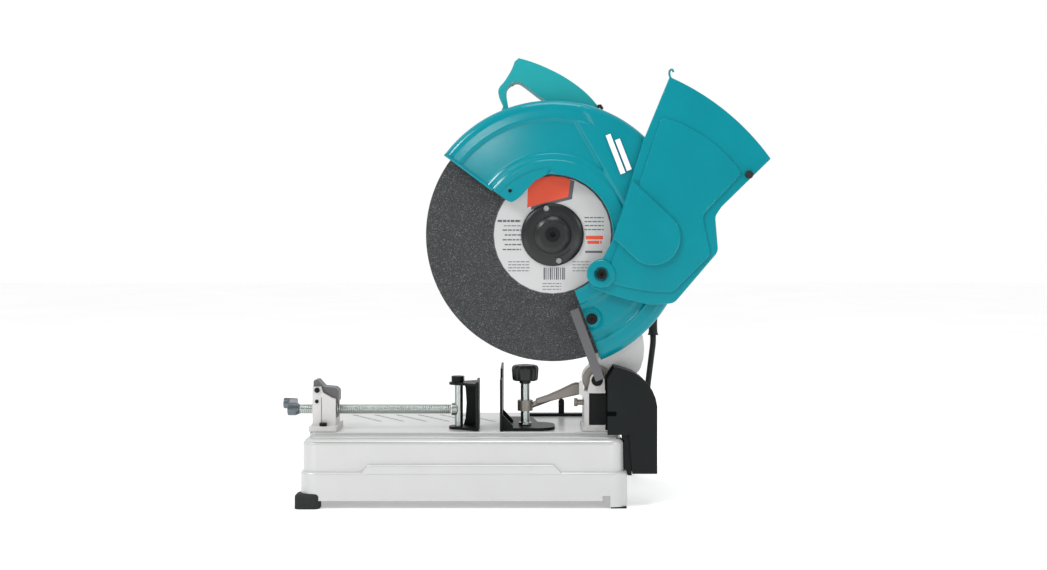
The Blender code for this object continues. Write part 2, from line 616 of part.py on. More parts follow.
def make_cover():
    outline = cover_outline()
    mesh = bpy.data.meshes.new("centre_cover")
    form = bmesh.new()
    front = COVER_BACK - COVER_DEPTH
    corners = [form.verts.new(world((x, front, z))) for x, z in outline]
    face = form.faces.new(corners)
    face.normal_update()
    if face.normal.y > 0:
        face.normal_flip()
    rim = bmesh.ops.extrude_edge_only(form, edges=list(form.edges))
    moved = [v for v in rim["geom"] if isinstance(v, bmesh.types.BMVert)]
    bmesh.ops.translate(form, vec=(0, COVER_DEPTH * MM, 0), verts=moved)
    bmesh.ops.recalc_face_normals(form, faces=form.faces)
    face.normal_update()
    if face.normal.y > 0:
        bmesh.ops.reverse_faces(form, faces=form.faces)
    form.to_mesh(mesh)
    form.free()
    cover = add("centre_cover", mesh, TEAL)
    sheet = cover.modifiers.new("sheet", "SOLIDIFY")
    sheet.thickness = CASE_SHEET * MM
    sheet.offset = -1
    dome = [(0, 11.5), (30, 11.5), (BULGE_R, 4), (BULGE_R, 0), (0, 0)]
    join(cover, turned("bulge", TEAL, dome, (0, -1, 0), (BULGE[0], front + 1.5, BULGE[2]), 24))
    inside = [(0, 14), (29, 14), (BULGE_R - 2, 6.5), (BULGE_R - 2, 0), (0, 0)]
    cut(cover, turned("bulge_room", TEAL, inside, (0, -1, 0), (BULGE[0], front + 6, BULGE[2]), 24))
    boss = rod("hinge_boss", TEAL, (HINGE[0], COVER_BACK, HINGE[2]), (0, -1, 0), COVER_DEPTH + 2, 19)
    join(cover, boss)
    cut(cover, rod("hinge_bore", TEAL, (HINGE[0], -120, HINGE[2]), (0, -1, 0), 30, 5 + GAP))
    bumper = turned("cover_bumper", RUBBER, [(0, 4), (4, 4), (5.7, 2), (5.7, 0), (0, 0)], (0, -1, 0),
                    (314.5, front - GAP, 459.2), 20)
    shank = [(0, 22), (7, 22), (7, 17), (5, 17), (5, 0), (0, 0)]
    bolt = turned("cover_hinge_bolt", BLACK, shank, (0, -1, 0), (HINGE[0], -117, HINGE[2]), 20)
    cut(bolt, rod("hinge_socket", BLACK, (HINGE[0], -145, HINGE[2]), (0, 1, 0), 10, 3, sides=6))
    swing = pivot("cover_axis", HINGE)
    attach(swing, cover, bumper)


def gear_outline(teeth, x, z, phase):
    """A spur gear with straight-sided teeth and working clearance."""
    pitch = TOOTH_MODULE * teeth / 2
    out = []
    for i in range(teeth):
        middle = phase + 2 * math.pi * i / teeth
        for share, radius in ((-0.27, pitch - 2.3), (-0.11, pitch + 1.6), (0.11, pitch + 1.6), (0.27, pitch - 2.3)):
            a = middle + share * 2 * math.pi / teeth
            out.append((x + radius * math.cos(a), z + radius * math.sin(a)))
    return out


def make_drive(head):
    """Wheel, flanges, spindle and gears, with the armature behind."""
    x, z = WHEEL[0], WHEEL[2]
    wheel = ring("abrasive_wheel", GRIT, SPINDLE_R + GAP, WHEEL_R, WHEEL_FACE, WHEEL_BACK, x, z, 48)
    profile = [(5.3, 12.5), (20, 12.5), (26, 9), (26, 7), (38, 6), (FLANGE_R, 3), (FLANGE_R, 0), (5.3, 0)]
    outer = turned("outer_flange", BLACK, profile, (0, -1, 0), (x, WHEEL_FACE - GAP, z), 24)
    for angle in (103.5, -76.5):
        spot = arc((x, z), 37.7, angle, angle, 1)[0]
        cut(outer, rod("pin_hole", BLACK, (spot[0], -120, spot[1]), (0, 1, 0), 30, 4, sides=12))
    inner = ring("inner_flange", BLACK, SPINDLE_R + GAP, FLANGE_R, WHEEL_BACK + GAP, -93, x, z, 32)
    journal = [(0, 62.5), (8, 62.5), (8, 50), (SPINDLE_R, 50), (SPINDLE_R, 0), (5.3, 0), (5.3, 20), (0, 20)]
    spindle = turned("spindle", STEEL, journal, (0, 1, 0), (x, WHEEL_FACE + GAP, z), 24)
    bolt = turned("arbor_bolt", BLACK, [(0, 22), (10, 22), (10, 16), (5, 16), (5, 0), (0, 0)], (0, -1, 0),
                  (x, -98.5, z), 24)
    cut(bolt, rod("bolt_socket", BLACK, (x, -125, z), (0, 1, 0), 9, 4, sides=6))
    gear = plate("spindle_gear", STEEL, [gear_outline(GEAR_TEETH, x, z, MOTOR_ANGLE)], GEAR_FRONT, GEAR_BACK)
    cut(gear, rod("gear_bore", STEEL, (x, -80, z), (0, 1, 0), 40, SPINDLE_R + GAP))
    spin = pivot("spindle_axis", WHEEL)
    attach(spin, wheel, outer, inner, spindle, bolt, gear)
    pinion_phase = MOTOR_ANGLE + math.pi + math.pi / PINION_TEETH
    pinion = gear_outline(PINION_TEETH, MOTOR_X, MOTOR_Z, pinion_phase)
    armature = plate("armature", STEEL, [pinion], GEAR_FRONT, GEAR_BACK + 2)
    core = [
        (0, 160), (5, 160), (5, 140), (16, 140), (16, 112), (8, 112), (8, 108), (28, 108), (28, 52), (7, 52),
        (7, 20), (5.5, 20), (5.5, 0), (0, 0),
    ]
    join(armature, turned("core", STEEL, core, (0, 1, 0), (MOTOR_X, GEAR_BACK + 1, MOTOR_Z), 16))
    fan = [(7.3, 9), (44, 9), (44, 0), (7.3, 0)]
    fan = turned("motor_fan", TEAL_PLASTIC, fan, (0, 1, 0), (MOTOR_X, -22, MOTOR_Z), 24)
    attach(pivot("armature_axis", (MOTOR_X, 0, MOTOR_Z)), armature, fan)
    attach(head, ring("front_bearing", STEEL, SPINDLE_R + GAP, 22, -84, CASTING_FRONT + 2, x, z, 24))
    attach(head, ring("rear_bearing", STEEL, 8 + GAP, 16, -50, CASTING_BACK - GAP, x, z, 24))
    attach(head, ring("armature_bearing_front", STEEL, 7 + GAP, 15, HOUSING_FRONT + GAP, -28, MOTOR_X, MOTOR_Z, 24))
    attach(head, ring("armature_bearing_rear", STEEL, 5 + GAP, 14, 95, 104, MOTOR_X, MOTOR_Z, 24))


def make_head(head):
    """The arm casting with the gear case, the gear cover, and the motor in its housing."""
    x, z = WHEEL[0], WHEEL[2]
    arm = [
        *arc((PIVOT[0], PIVOT[2]), BOSS_R, 125, 320, 10), (150, 168), (166, 182),
        *arc((99.8, 214.6), 75, -22, 25, 4), (158, 262), *arc((MOTOR_X, MOTOR_Z), 52, -20, 40, 4),
        *arc((x, z), 58, 30, 215, 14), (86, 242), (101, 201),
    ]
    casting = plate("gear_housing", CAST, [arm], CASTING_FRONT, CASTING_BACK)
    join(casting, rod("arm_boss", CAST, (PIVOT[0], -78.5, PIVOT[2]), (0, 1, 0), 43.5, BOSS_R))
    nose = [(0, 13.5), (30, 13.5), (32, 11.5), (32, 0), (0, 0)]
    join(casting, turned("bearing_nose", CAST, nose, (0, -1, 0), (x, CASTING_FRONT + 2, z), 32))
    cut(casting, rod("gear_room", CAST, (x, -71, z), (0, 1, 0), 40, 51, sides=32))
    cut(casting, rod("pinion_room", CAST, (MOTOR_X, -71, MOTOR_Z), (0, 1, 0), 40, 15))
    cut(casting, rod("bearing_bore", CAST, (x, -84.5, z), (0, 1, 0), 20, 22 + GAP))
    cut(casting, rod("spindle_hole", CAST, (x, -95, z), (0, 1, 0), 40, SPINDLE_R + 1))
    cut(casting, rod("shaft_bore", CAST, (PIVOT[0], -95, PIVOT[2]), (0, 1, 0), 70, SHAFT_R + GAP))
    cover = [*arc((x, z), 57, 50, 250, 14), *arc((MOTOR_X, MOTOR_Z), 60, 250, 410, 14)]
    gear_cover = plate("gear_cover", CAST, [cover], CASTING_BACK + GAP, -36)
    cut(gear_cover, rod("pinion_hole", CAST, (MOTOR_X, -50, MOTOR_Z), (0, 1, 0), 20, 10.8))
    cut(gear_cover, rod("spindle_room", CAST, (x, -50, z), (0, 1, 0), 12, 9))
    attach(head, casting, gear_cover)
    make_motor(head)


def make_motor(head):
    length = HOUSING_BACK - HOUSING_FRONT
    solid = [(0, length), (MOTOR_R - 2, length), (MOTOR_R, length - 4), (MOTOR_R, 0), (0, 0)]
    housing = turned("motor_housing", TEAL_PLASTIC, solid, (0, 1, 0), (MOTOR_X, HOUSING_FRONT, MOTOR_Z), 28)
    join(housing, block("cord_box", TEAL_PLASTIC, (135, -6, 277.5), (207, 46, 330), 4))
    cut(housing, rod("motor_room", TEAL_PLASTIC, (MOTOR_X, -60, MOTOR_Z), (0, 1, 0), 200, MOTOR_R - 3, sides=28))
    cut(housing, block("wire_room", TEAL_PLASTIC, (140, 0, 284), (202, 40, 324)))
    cut(housing, rod("cord_hole", TEAL_PLASTIC, (CORD_EXIT[0], CORD_EXIT[1], 270), (0, 0, 1), 20, 5))
    cap = CAP_BACK - HOUSING_BACK - GAP
    dome = [(0, cap), (34, cap), (50, cap - 5), (MOTOR_R - 2, cap - 16), (MOTOR_R - 1, 0), (0, 0)]
    end = turned("motor_end_cap", TEAL_PLASTIC, dome, (0, 1, 0), (MOTOR_X, HOUSING_BACK + GAP, MOTOR_Z), 28)
    room = [(0, cap - 3), (32, cap - 3), (52, cap - 16), (MOTOR_R - 4, 0), (MOTOR_R - 4, -3), (0, -3)]
    cut(end, turned("cap_room", TEAL_PLASTIC, room, (0, 1, 0), (MOTOR_X, HOUSING_BACK + GAP, MOTOR_Z), 28))
    field = ring("field_core", COPPER, 31, MOTOR_R - 4, -4, 60, MOTOR_X, MOTOR_Z, 28)
    boot = [(0, 48), (7.5, 48), (6.2, 16), (6.6, 4), (8.2, 0), (0, 0)]
    guard = turned("cord_guard", RUBBER, boot, (0, 0, 1), (*CORD_EXIT[:2], CORD_EXIT[2] + GAP), 20)
    attach(head, housing, end, field, guard)
    for side, start in (("near", 1), ("far", -1)):
        brush = rod("brush_cap_" + side, BLACK, (MOTOR_X + (MOTOR_R - 4) * start, 84, MOTOR_Z), (start, 0, 0), 7, 7)
        room = rod("brush_room", BLACK, (MOTOR_X + 40 * start, 84, MOTOR_Z), (start, 0, 0), 30, 7 + GAP)
        cut(end, room)
        attach(head, brush)


def grip_outlines():
    """The D handle's side and its finger opening."""
    back = [(-3.7, 627.9), (13.8, 622.8), (34.3, 614.7), (57.6, 603.1), (79.6, 588.5), (95.8, 574.6), (107.4, 561.4)]
    stem = [(132, 520), (140, 470), *arc((WHEEL[0], WHEEL[2]), 60, 42, 150, 8), (-52, 470), (-42, 520)]
    front = [(-25.7, 560.0), (-33.0, 581.2), (-22.8, 596.5), (-14.1, 611.1), (-9.6, 622.8)]
    opening = [(-5.2, 594.9), (2.1, 591.4), (14, 582.5), (28.4, 571.6), (60, 552), (84, 528), (86, 505), (70, 488),
               (20, 486), (-4, 500), (-12, 530), (-18, 555), (-21.4, 581.9), (-14.1, 592.1)]
    return back + stem + front, opening


def make_handle(head):
    """Two moulded halves with the trigger, lock-off button and switch between them."""
    outline, opening = grip_outlines()
    for side, start, end in (("near", -76.7, -57.15), ("far", -56.85, -37.5)):
        half = plate("handle_half_" + side, TEAL_PLASTIC, [outline, opening], start, end, bevel=0)
        cut(half, block("switch_room", TEAL_PLASTIC, (36, -70, 570), (68, -44, 592)))
        cut(half, block("trigger_room", TEAL_PLASTIC, (34, -63, 530), (76, -51, 575)))
        cut(half, rod("button_hole", TEAL_PLASTIC, (52, -50, 578), (0, 1, 0), 20, 5 + GAP))
        attach(head, half)
    switch = block("power_switch", BLACK, (37, -69, 575), (67, -50, 591))
    trigger = plate("trigger", BLACK, [[(37, 570), (70, 557), (69, 545), (56, 549), (40, 560)]], -62, -52, bevel=1)
    button = rod("lock_button", BLACK, (52, -45.5, 578), (0, 1, 0), 12, 5, 4.5, sides=20)
    attach(head, switch)
    attach(pivot("trigger_axis", (71, -57, 556)), trigger)
    attach(pivot("button_axis", (52, -40, 578)), button)


def make_cord():
    """The cord down from the boot to the floor, the coil of the rest, and the plug on top of it."""
    coil_top = 4 * 2 * CORD_R
    cx, cy = COIL_CENTRE
    inner, outer = COIL_R - 2 * CORD_R, COIL_R + 2 * CORD_R
    route = [
        CORD_EXIT, (196.3, 20.0, 217.0), (194.6, 23.0, 200.0), (190.5, 34.0, 158.0), (187.0, 56.0, 108.0),
        (183.0, 88.0, 58.0), (177.0, 120.0, 21.0), (168.0, 149.0, 6.5), (157.0, 175.0, 4.5), (147.2, 198.7, 4.5),
    ]
    tube("power_cord", RUBBER, smooth_route(route, 13.0), CORD_R, 2)
    profile = [(inner, coil_top), (outer, coil_top), (outer, 0), (inner, 0)]
    turned("cord_coil", RUBBER, profile, (0, 0, 1), (cx, cy, 0.1), 24)
    x, y, z = PLUG
    plug = block("power_plug", BLACK, (x - 14, y - 16, z - 13), (x + 14, y + 16, z + 13), 4)
    join(plug, rod("plug_neck", BLACK, (x, y + 14, z), (0, 1, 0), 12, 7, 5.2, sides=16))
    for side in (-7, 5.4):
        join(plug, block("blade", STEEL, (x + side, y - 35, z - 3), (x + side + 1.6, y - 15, z + 3)))


def main():
    head = pivot("head_axis", PIVOT)
    make_base()
    make_bracket()
    make_spark_guard()
    make_vise()
    make_fence()
    make_blade_case(head)
    make_cover()
    make_drive(head)
    make_head(head)
    make_handle(head)
    make_cord()


main()
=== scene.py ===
"""Looks of the abrasive chop saw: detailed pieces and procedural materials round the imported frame.

Sizes are in millimetres and mm() turns a point into metres. X runs from the operator's end to the
spark guard, Z is up, and the wheel is on the -Y side, as in the frame.
"""
import json
import math

import bmesh
import bpy
from mathutils import Matrix, Vector


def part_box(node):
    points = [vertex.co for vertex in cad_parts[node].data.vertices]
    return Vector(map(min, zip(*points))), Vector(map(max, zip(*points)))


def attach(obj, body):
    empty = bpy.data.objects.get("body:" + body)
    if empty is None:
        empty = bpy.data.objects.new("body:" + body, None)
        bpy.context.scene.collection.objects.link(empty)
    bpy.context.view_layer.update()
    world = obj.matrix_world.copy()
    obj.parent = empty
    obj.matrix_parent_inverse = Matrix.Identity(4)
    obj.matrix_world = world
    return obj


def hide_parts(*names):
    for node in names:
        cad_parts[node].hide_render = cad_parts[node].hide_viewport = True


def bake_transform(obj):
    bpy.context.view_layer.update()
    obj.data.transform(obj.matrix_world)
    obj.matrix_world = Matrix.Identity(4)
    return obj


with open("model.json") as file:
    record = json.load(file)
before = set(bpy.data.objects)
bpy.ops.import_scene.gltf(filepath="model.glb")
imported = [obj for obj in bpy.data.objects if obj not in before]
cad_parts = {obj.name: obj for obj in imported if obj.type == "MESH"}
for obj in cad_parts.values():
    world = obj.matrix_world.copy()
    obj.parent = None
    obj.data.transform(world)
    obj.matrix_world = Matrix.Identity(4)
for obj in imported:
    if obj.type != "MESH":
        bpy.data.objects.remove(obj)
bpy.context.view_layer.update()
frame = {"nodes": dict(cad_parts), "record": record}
NODES = frame["nodes"]
BODY_OF = {n: b for b, names in frame["record"]["behaviour"]["bodies"].items() for n in names}
SLOT_OF = {part["node"]: part["material_slot"] for part in frame["record"]["subparts"]}
MM = 0.001


def mm(x, y, z):
    return Vector((x, y, z)) * MM


def box_mm(node):
    """A node's lowest and highest corner in millimetres."""
    low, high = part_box(node)
    return Vector(low) / MM, Vector(high) / MM


def middle_mm(node):
    low, high = box_mm(node)
    return (low + high) / 2


# Places read from the frame
WHEEL = middle_mm("abrasive_wheel")
WHEEL_LOW, WHEEL_HIGH = box_mm("abrasive_wheel")
WHEEL_R = (WHEEL_HIGH.x - WHEEL_LOW.x) / 2
WHEEL_FACE = WHEEL_LOW.y
MOTOR = middle_mm("field_core")
CASE_FRONT = box_mm("blade_case")[0].y
CASE_BACK = box_mm("blade_case")[1].y
HINGE = middle_mm("cover_hinge_bolt")
FLOOR_Z = 0.0

# Camera: level, in front of the wheel's side
CAMERA_PLACE = mm(3.0, -2000.0, 357.4)
CAMERA_LENS = 46.53
CAMERA_SHIFT_Y = -0.035

# Fixed guard
CASE_R = 188.0
WINDOW_R = 84.0
CASE_START = -68.8
CASE_END = 143.5
CASE_SHEET = 1.8
RIM_BEND = 12.0
RIM_START = CASE_R - RIM_BEND

# Cord
CORD_D = 8.8
COIL_CENTRE = middle_mm("cord_coil")
COIL_OUTER = 52.4
COIL_INNER = 43.6
COIL_START = 22.3
BOOT_EXIT = (196.3, 20.0, 228.0)


def make_camera():
    """The photo's view: level, with the picture's centre shifted instead of the camera tilted."""
    data = bpy.data.cameras.new("camera")
    data.lens = CAMERA_LENS
    data.sensor_width = 36.0
    data.shift_y = CAMERA_SHIFT_Y
    camera = bpy.data.objects.new("camera", data)
    camera.location = CAMERA_PLACE
    camera.rotation_euler = (math.radians(90), 0, 0)
    bpy.context.scene.collection.objects.link(camera)
    bpy.context.scene.camera = camera


# ---------------------------------------------------------------- materials


# The colour sockets of a Mix node
MIX_A, MIX_B, MIX_RESULT = 6, 7, 2


def shader_of(name):
    """A new material, its node tree and its Principled shader."""
    made = bpy.data.materials.new(name)
    made.use_nodes = True
    tree = made.node_tree
    return made, tree, tree.nodes["Principled BSDF"]


def texture(tree, kind, scale, detail=2.0, stretch=(1, 1, 1)):
    """A noise or voronoi texture in metres, its scale given in features per metre."""
    coords = tree.nodes.new("ShaderNodeTexCoord")
    mapping = tree.nodes.new("ShaderNodeMapping")
    mapping.inputs["Scale"].default_value = stretch
    made = tree.nodes.new(kind)
    made.inputs["Scale"].default_value = scale
    if kind == "ShaderNodeTexNoise":
        made.inputs["Detail"].default_value = detail
    tree.links.new(coords.outputs["Object"], mapping.inputs["Vector"])
    tree.links.new(mapping.outputs["Vector"], made.inputs["Vector"])
    return made


def ramp(tree, source, stops):
    """A colour ramp on a source socket; stops are (position, colour)."""
    made = tree.nodes.new("ShaderNodeValToRGB")
    elements = made.color_ramp.elements
    while len(elements) < len(stops):
        elements.new(0.5)
    for element, (place, colour) in zip(elements, stops):
        element.position = place
        element.color = (*colour, 1.0)
    tree.links.new(source, made.inputs["Fac"])
    return made.outputs["Color"]


def spread(tree, source, low, high):
    """A 0..1 socket mapped to a range."""
    made = tree.nodes.new("ShaderNodeMapRange")
    made.inputs["From Min"].default_value = 0.3
    made.inputs["From Max"].default_value = 0.7
    made.inputs["To Min"].default_value = low
    made.inputs["To Max"].default_value = high
    tree.links.new(source, made.inputs["Value"])
    return made.outputs["Result"]


def bump(tree, shader, source, strength, distance):
    made = tree.nodes.new("ShaderNodeBump")
    made.inputs["Strength"].default_value = strength
    made.inputs["Distance"].default_value = distance
    tree.links.new(source, made.inputs["Height"])
    tree.links.new(made.outputs["Normal"], shader.inputs["Normal"])


def shade(colour, factor):
    """A colour made lighter or darker."""
    return tuple(min(1.0, c * factor) for c in colour)


def finish(name, colour, roughness, metallic=0.0, change=0.08, grain=900.0, relief=0.1, depth=0.0002,
           stretch=(1, 1, 1), coat=0.0, sheen=0.5):
    """A coated or moulded surface: broad colour change, fine grain relief and uneven gloss."""
    made, tree, shader = shader_of(name)
    broad = texture(tree, "ShaderNodeTexNoise", 14.0, 4.0, stretch)
    fine = texture(tree, "ShaderNodeTexNoise", grain, 2.0, stretch)
    stops = [(0.3, shade(colour, 1 - change)), (0.7, shade(colour, 1 + change))]
    tree.links.new(ramp(tree, broad.outputs["Fac"], stops), shader.inputs["Base Color"])
    gloss = spread(tree, fine.outputs["Fac"], roughness * 0.85, min(1.0, roughness * 1.15))
    tree.links.new(gloss, shader.inputs["Roughness"])
    shader.inputs["Metallic"].default_value = metallic
    shader.inputs["Specular IOR Level"].default_value = sheen
    shader.inputs["Coat Weight"].default_value = coat
    shader.inputs["Coat Roughness"].default_value = 0.13
    bump(tree, shader, fine.outputs["Fac"], relief, depth)
    return made


def grit():
    """Resin-bonded abrasive: dark ground with scattered paler and glinting grains."""
    made, tree, shader = shader_of("bonded_abrasive")
    cells = texture(tree, "ShaderNodeTexVoronoi", 900.0)
    coarse = texture(tree, "ShaderNodeTexNoise", 500.0, 3.0)
    stops = [(0.0, (0.024, 0.027, 0.028)), (0.6, (0.042, 0.046, 0.047)), (0.8, (0.08, 0.085, 0.087)),
             (0.93, (0.17, 0.175, 0.175))]
    mixed = tree.nodes.new("ShaderNodeMix")
    mixed.data_type = "RGBA"
    mixed.blend_type = "MULTIPLY"
    mixed.inputs["Factor"].default_value = 0.55
    tree.links.new(ramp(tree, cells.outputs["Color"], stops), mixed.inputs[MIX_A])
    shadows = ramp(tree, coarse.outputs["Fac"], [(0.35, (0.6, 0.6, 0.6)), (0.65, (1, 1, 1))])
    tree.links.new(shadows, mixed.inputs[MIX_B])
    tree.links.new(mixed.outputs[MIX_RESULT], shader.inputs["Base Color"])
    shader.inputs["Roughness"].default_value = 0.9
    bump(tree, shader, cells.outputs["Distance"], 0.5, 0.0006)
    return made


def paper(name, colour):
    """The printed label's paper, slightly mottled."""
    return finish(name, colour, 0.6, change=0.03, grain=2500.0, relief=0.05, depth=0.00005)


FINISHES = {
    "teal_paint": finish(
        "teal_paint", (0.0, 0.222, 0.270), 0.30, 0.0, 0.05, 500, 0.05, coat=0.45, sheen=0.03
    ),
    "teal_plastic": finish("teal_plastic", (0.008, 0.31, 0.33), 0.5, 0.0, 0.04, 1800, 0.25, sheen=0.25),
    "silver_paint": finish("silver_paint", (0.545, 0.55, 0.545), 0.36, 0.25, 0.02, 1400, 0.06, coat=0.2),
    "cast_aluminium": finish("cast_aluminium", (0.62, 0.61, 0.60), 0.5, 0.35, 0.05, 420, 0.3, 0.0004),
    "plated_steel": finish("plated_steel", (0.42, 0.46, 0.44), 0.30, 1.0, 0.05, 900, 0.02),
    "dark_steel": finish("dark_steel", (0.13, 0.155, 0.17), 0.34, 0.9, 0.05, 900, 0.03),
    "dull_steel": finish("dull_steel", (0.27, 0.25, 0.225), 0.42, 0.6, 0.05, 900, 0.04),
    "black_paint": finish("black_paint", (0.006, 0.008, 0.008), 0.42, 0.0, 0.15, 900, 0.12, sheen=0.16),
    "flange_black": finish(
        "flange_black", (0.012, 0.0145, 0.0145), 0.32, 0.0, 0.10, 900, 0.10, sheen=0.4
    ),
    "black_rubber": finish("black_rubber", (0.016, 0.018, 0.018), 0.7, 0.0, 0.12, 1300, 0.2, sheen=0.3),
    "grey_paint": finish("grey_paint", (0.11, 0.11, 0.115), 0.45, 0.3, 0.10, 900, 0.12),
    "black_plastic": finish(
        "black_plastic", (0.010, 0.011, 0.012), 0.38, 0.0, 0.12, 1500, 0.15, sheen=0.4
    ),
    "copper_winding": finish(
        "copper_winding", (0.45, 0.18, 0.07), 0.35, 0.9, 0.15, 900, 0.4, stretch=(1, 6, 1)
    ),
    "bonded_abrasive": grit(),
    "label_paper": paper("label_paper", (0.52, 0.525, 0.525)),
    "label_orange": paper("label_orange", (0.70, 0.075, 0.03)),
    "label_dark": paper("label_dark", (0.09, 0.09, 0.105)),
    "white_print": paper("white_print", (0.85, 0.86, 0.86)),
}


def dress_nodes():
    """Gives every node of the frame the finish of its material slot."""
    for name, node in NODES.items():
        node.data.materials.clear()
        node.data.materials.append(FINISHES[SLOT_OF[name]])


# ---------------------------------------------------------------- shapes


# Every piece made below, for settle_normals()
PIECES = []


def piece(name, mesh, body, slot, finish_name=None, sharp=32):
    """A named piece of the object, on its body, with its finish."""
    made = bpy.data.objects.new(name, mesh)
    mesh.materials.clear()
    mesh.materials.append(FINISHES[finish_name or slot])
    mesh.shade_smooth()
    mesh.set_sharp_from_angle(angle=math.radians(sharp))
    bpy.context.scene.collection.objects.link(made)
    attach(made, body)
    PIECES.append(made)
    return made


def settle_normals():
    """Makes broad faces look flat beside their rounded edges."""
    for made in PIECES:
        change = made.modifiers.new("flat_faces", "WEIGHTED_NORMAL")
        change.keep_sharp = True
        change.weight = 90


def mesh_of(form, name):
    mesh = bpy.data.meshes.new(name)
    bmesh.ops.recalc_face_normals(form, faces=form.faces)
    form.to_mesh(mesh)
    form.free()
    return mesh


def bevel_sharp(form, width, segments, angle=28):
    """Rounds every edge that turns by more than angle degrees."""
    limit = math.radians(angle)
    edges = [e for e in form.edges if len(e.link_faces) == 2 and e.calc_face_angle(0) > limit]
    bmesh.ops.bevel(
        form, geom=edges, offset=width * MM, segments=segments, profile=0.5, affect="EDGES",
        clamp_overlap=True, offset_type="OFFSET"
    )


def refined(node, width=0.8, segments=2, finish_name=None):
    """A node's own shape with clean flat faces and rounded edges, standing for it."""
    form = bmesh.new()
    form.from_mesh(NODES[node].data)
    bmesh.ops.remove_doubles(form, verts=form.verts, dist=0.00001)
    bmesh.ops.dissolve_limit(form, angle_limit=math.radians(1.0), verts=form.verts, edges=form.edges)
    bevel_sharp(form, width, segments, 40)
    made = piece(node + "_body", mesh_of(form, node), BODY_OF[node], SLOT_OF[node], finish_name)
    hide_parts(node)
    return made


def aligned(axis, centre):
    """A matrix that turns Z onto an axis and moves the origin to a centre in millimetres."""
    turn = Vector((0, 0, 1)).rotation_difference(Vector(axis)).to_matrix().to_4x4()
    return Matrix.Translation(Vector(centre) * MM) @ turn


def turned_form(profile, axis, origin, steps):
    """A turned form from points (radius, distance along), closed if it starts off the axis."""
    form = bmesh.new()
    verts = [form.verts.new((r * MM, 0, along * MM)) for r, along in profile]
    edges = [form.edges.new((a, b)) for a, b in zip(verts, verts[1:])]
    if profile[0][0] > 0:
        edges.append(form.edges.new((verts[-1], verts[0])))
    bmesh.ops.spin(
        form, geom=verts + edges, cent=(0, 0, 0), axis=(0, 0, 1), angle=2 * math.pi, steps=steps,
        use_merge=True
    )
    bmesh.ops.remove_doubles(form, verts=form.verts, dist=0.000005)
    bmesh.ops.transform(form, matrix=aligned(axis, origin), verts=form.verts)
    return form


def arc(centre, radius, start, end, count):
    """Points on an arc, angles in degrees."""
    angles = [math.radians(start + (end - start) * i / count) for i in range(count + 1)]
    return [(centre[0] + radius * math.cos(a), centre[1] + radius * math.sin(a)) for a in angles]


def through(a, b, c, count):
    """Points on the arc through three points."""
    (ax, az), (bx, bz), (cx, cz) = a, b, c
    d = 2 * (ax * (bz - cz) + bx * (cz - az) + cx * (az - bz))
    sa, sb, sc = ax * ax + az * az, bx * bx + bz * bz, cx * cx + cz * cz
    ux = (sa * (bz - cz) + sb * (cz - az) + sc * (az - bz)) / d
    uz = (sa * (cx - bx) + sb * (ax - cx) + sc * (bx - ax)) / d
    first = math.degrees(math.atan2(az - uz, ax - ux))
    last = math.degrees(math.atan2(cz - uz, cx - ux))
    turn = (last - first + 180) % 360 - 180
    return arc((ux, uz), math.hypot(ax - ux, az - uz), first, first + turn, count)


def rounded(points, radii, steps=6):
    """A polygon with its corners rounded; a corner of no radius stays."""
    out = []
    for i, (point, radius) in enumerate(zip(points, radii)):
        here = Vector(point)
        if not radius:
            out.append(tuple(here))
            continue
        before = (Vector(points[i - 1]) - here).normalized()
        after = (Vector(points[(i + 1) % len(points)]) - here).normalized()
        reach = radius / math.tan(before.angle(after) / 2)
        for k in range(steps + 1):
            t = k / steps
            a = here + before * reach * (1 - t)
            b = here + after * reach * t
            out.append(tuple(a * (1 - t) + b * t))
    return out


def smooth_line(knots, per_span=6, closed=False):
    """Points along a Catmull-Rom curve through knots of any dimension."""
    knots = [Vector(k) for k in knots]
    if closed:
        line = [knots[-1], *knots, knots[0], knots[1]]
    else:
        line = [2 * knots[0] - knots[1], *knots, 2 * knots[-1] - knots[-2]]
    out = []
    for a, b, c, d in zip(line, line[1:], line[2:], line[3:]):
        for i in range(per_span):
            t = i / per_span
            square = (2 * a - 5 * b + 4 * c - d) * t**2
            cube = (3 * b - a - 3 * c + d) * t**3
            out.append(0.5 * (2 * b + (c - a) * t + square + cube))
    if not closed:
        out.append(knots[-1])
    return [tuple(p) for p in out]


def plate_form(outlines, start, end, flat=False, width=0.0, segments=3):
    """A slab with holes between two Y planes, or between two heights when flat."""
    curve = bpy.data.curves.new("outline", "CURVE")
    curve.dimensions = "2D"
    curve.fill_mode = "BOTH"
    curve.extrude = abs(end - start) / 2 * MM
    for outline in outlines:
        line = curve.splines.new("POLY")
        line.points.add(len(outline) - 1)
        for point, (x, z) in zip(line.points, outline):
            point.co = (x * MM, z * MM, 0.0, 1.0)
        line.use_cyclic_u = True
    holder = bpy.data.objects.new("outline", curve)
    bpy.context.scene.collection.objects.link(holder)
    bpy.context.view_layer.update()
    graph = bpy.context.evaluated_depsgraph_get()
    mesh = bpy.data.meshes.new_from_object(holder.evaluated_get(graph))
    bpy.data.objects.remove(holder, do_unlink=True)
    form = bmesh.new()
    form.from_mesh(mesh)
    bpy.data.meshes.remove(mesh)
    bmesh.ops.remove_doubles(form, verts=form.verts, dist=0.000001)
    bmesh.ops.dissolve_limit(form, angle_limit=math.radians(1.0), verts=form.verts, edges=form.edges)
    turn = Matrix.Identity(4) if flat else Matrix.Rotation(math.pi / 2, 4, "X")
    shift = (0, 0, (start + end) / 2 * MM) if flat else (0, (start + end) / 2 * MM, 0)
    bmesh.ops.transform(form, matrix=Matrix.Translation(shift) @ turn, verts=form.verts)
    bmesh.ops.recalc_face_normals(form, faces=form.faces)
    if width:
        bevel_sharp(form, width, segments, 50)
    return form


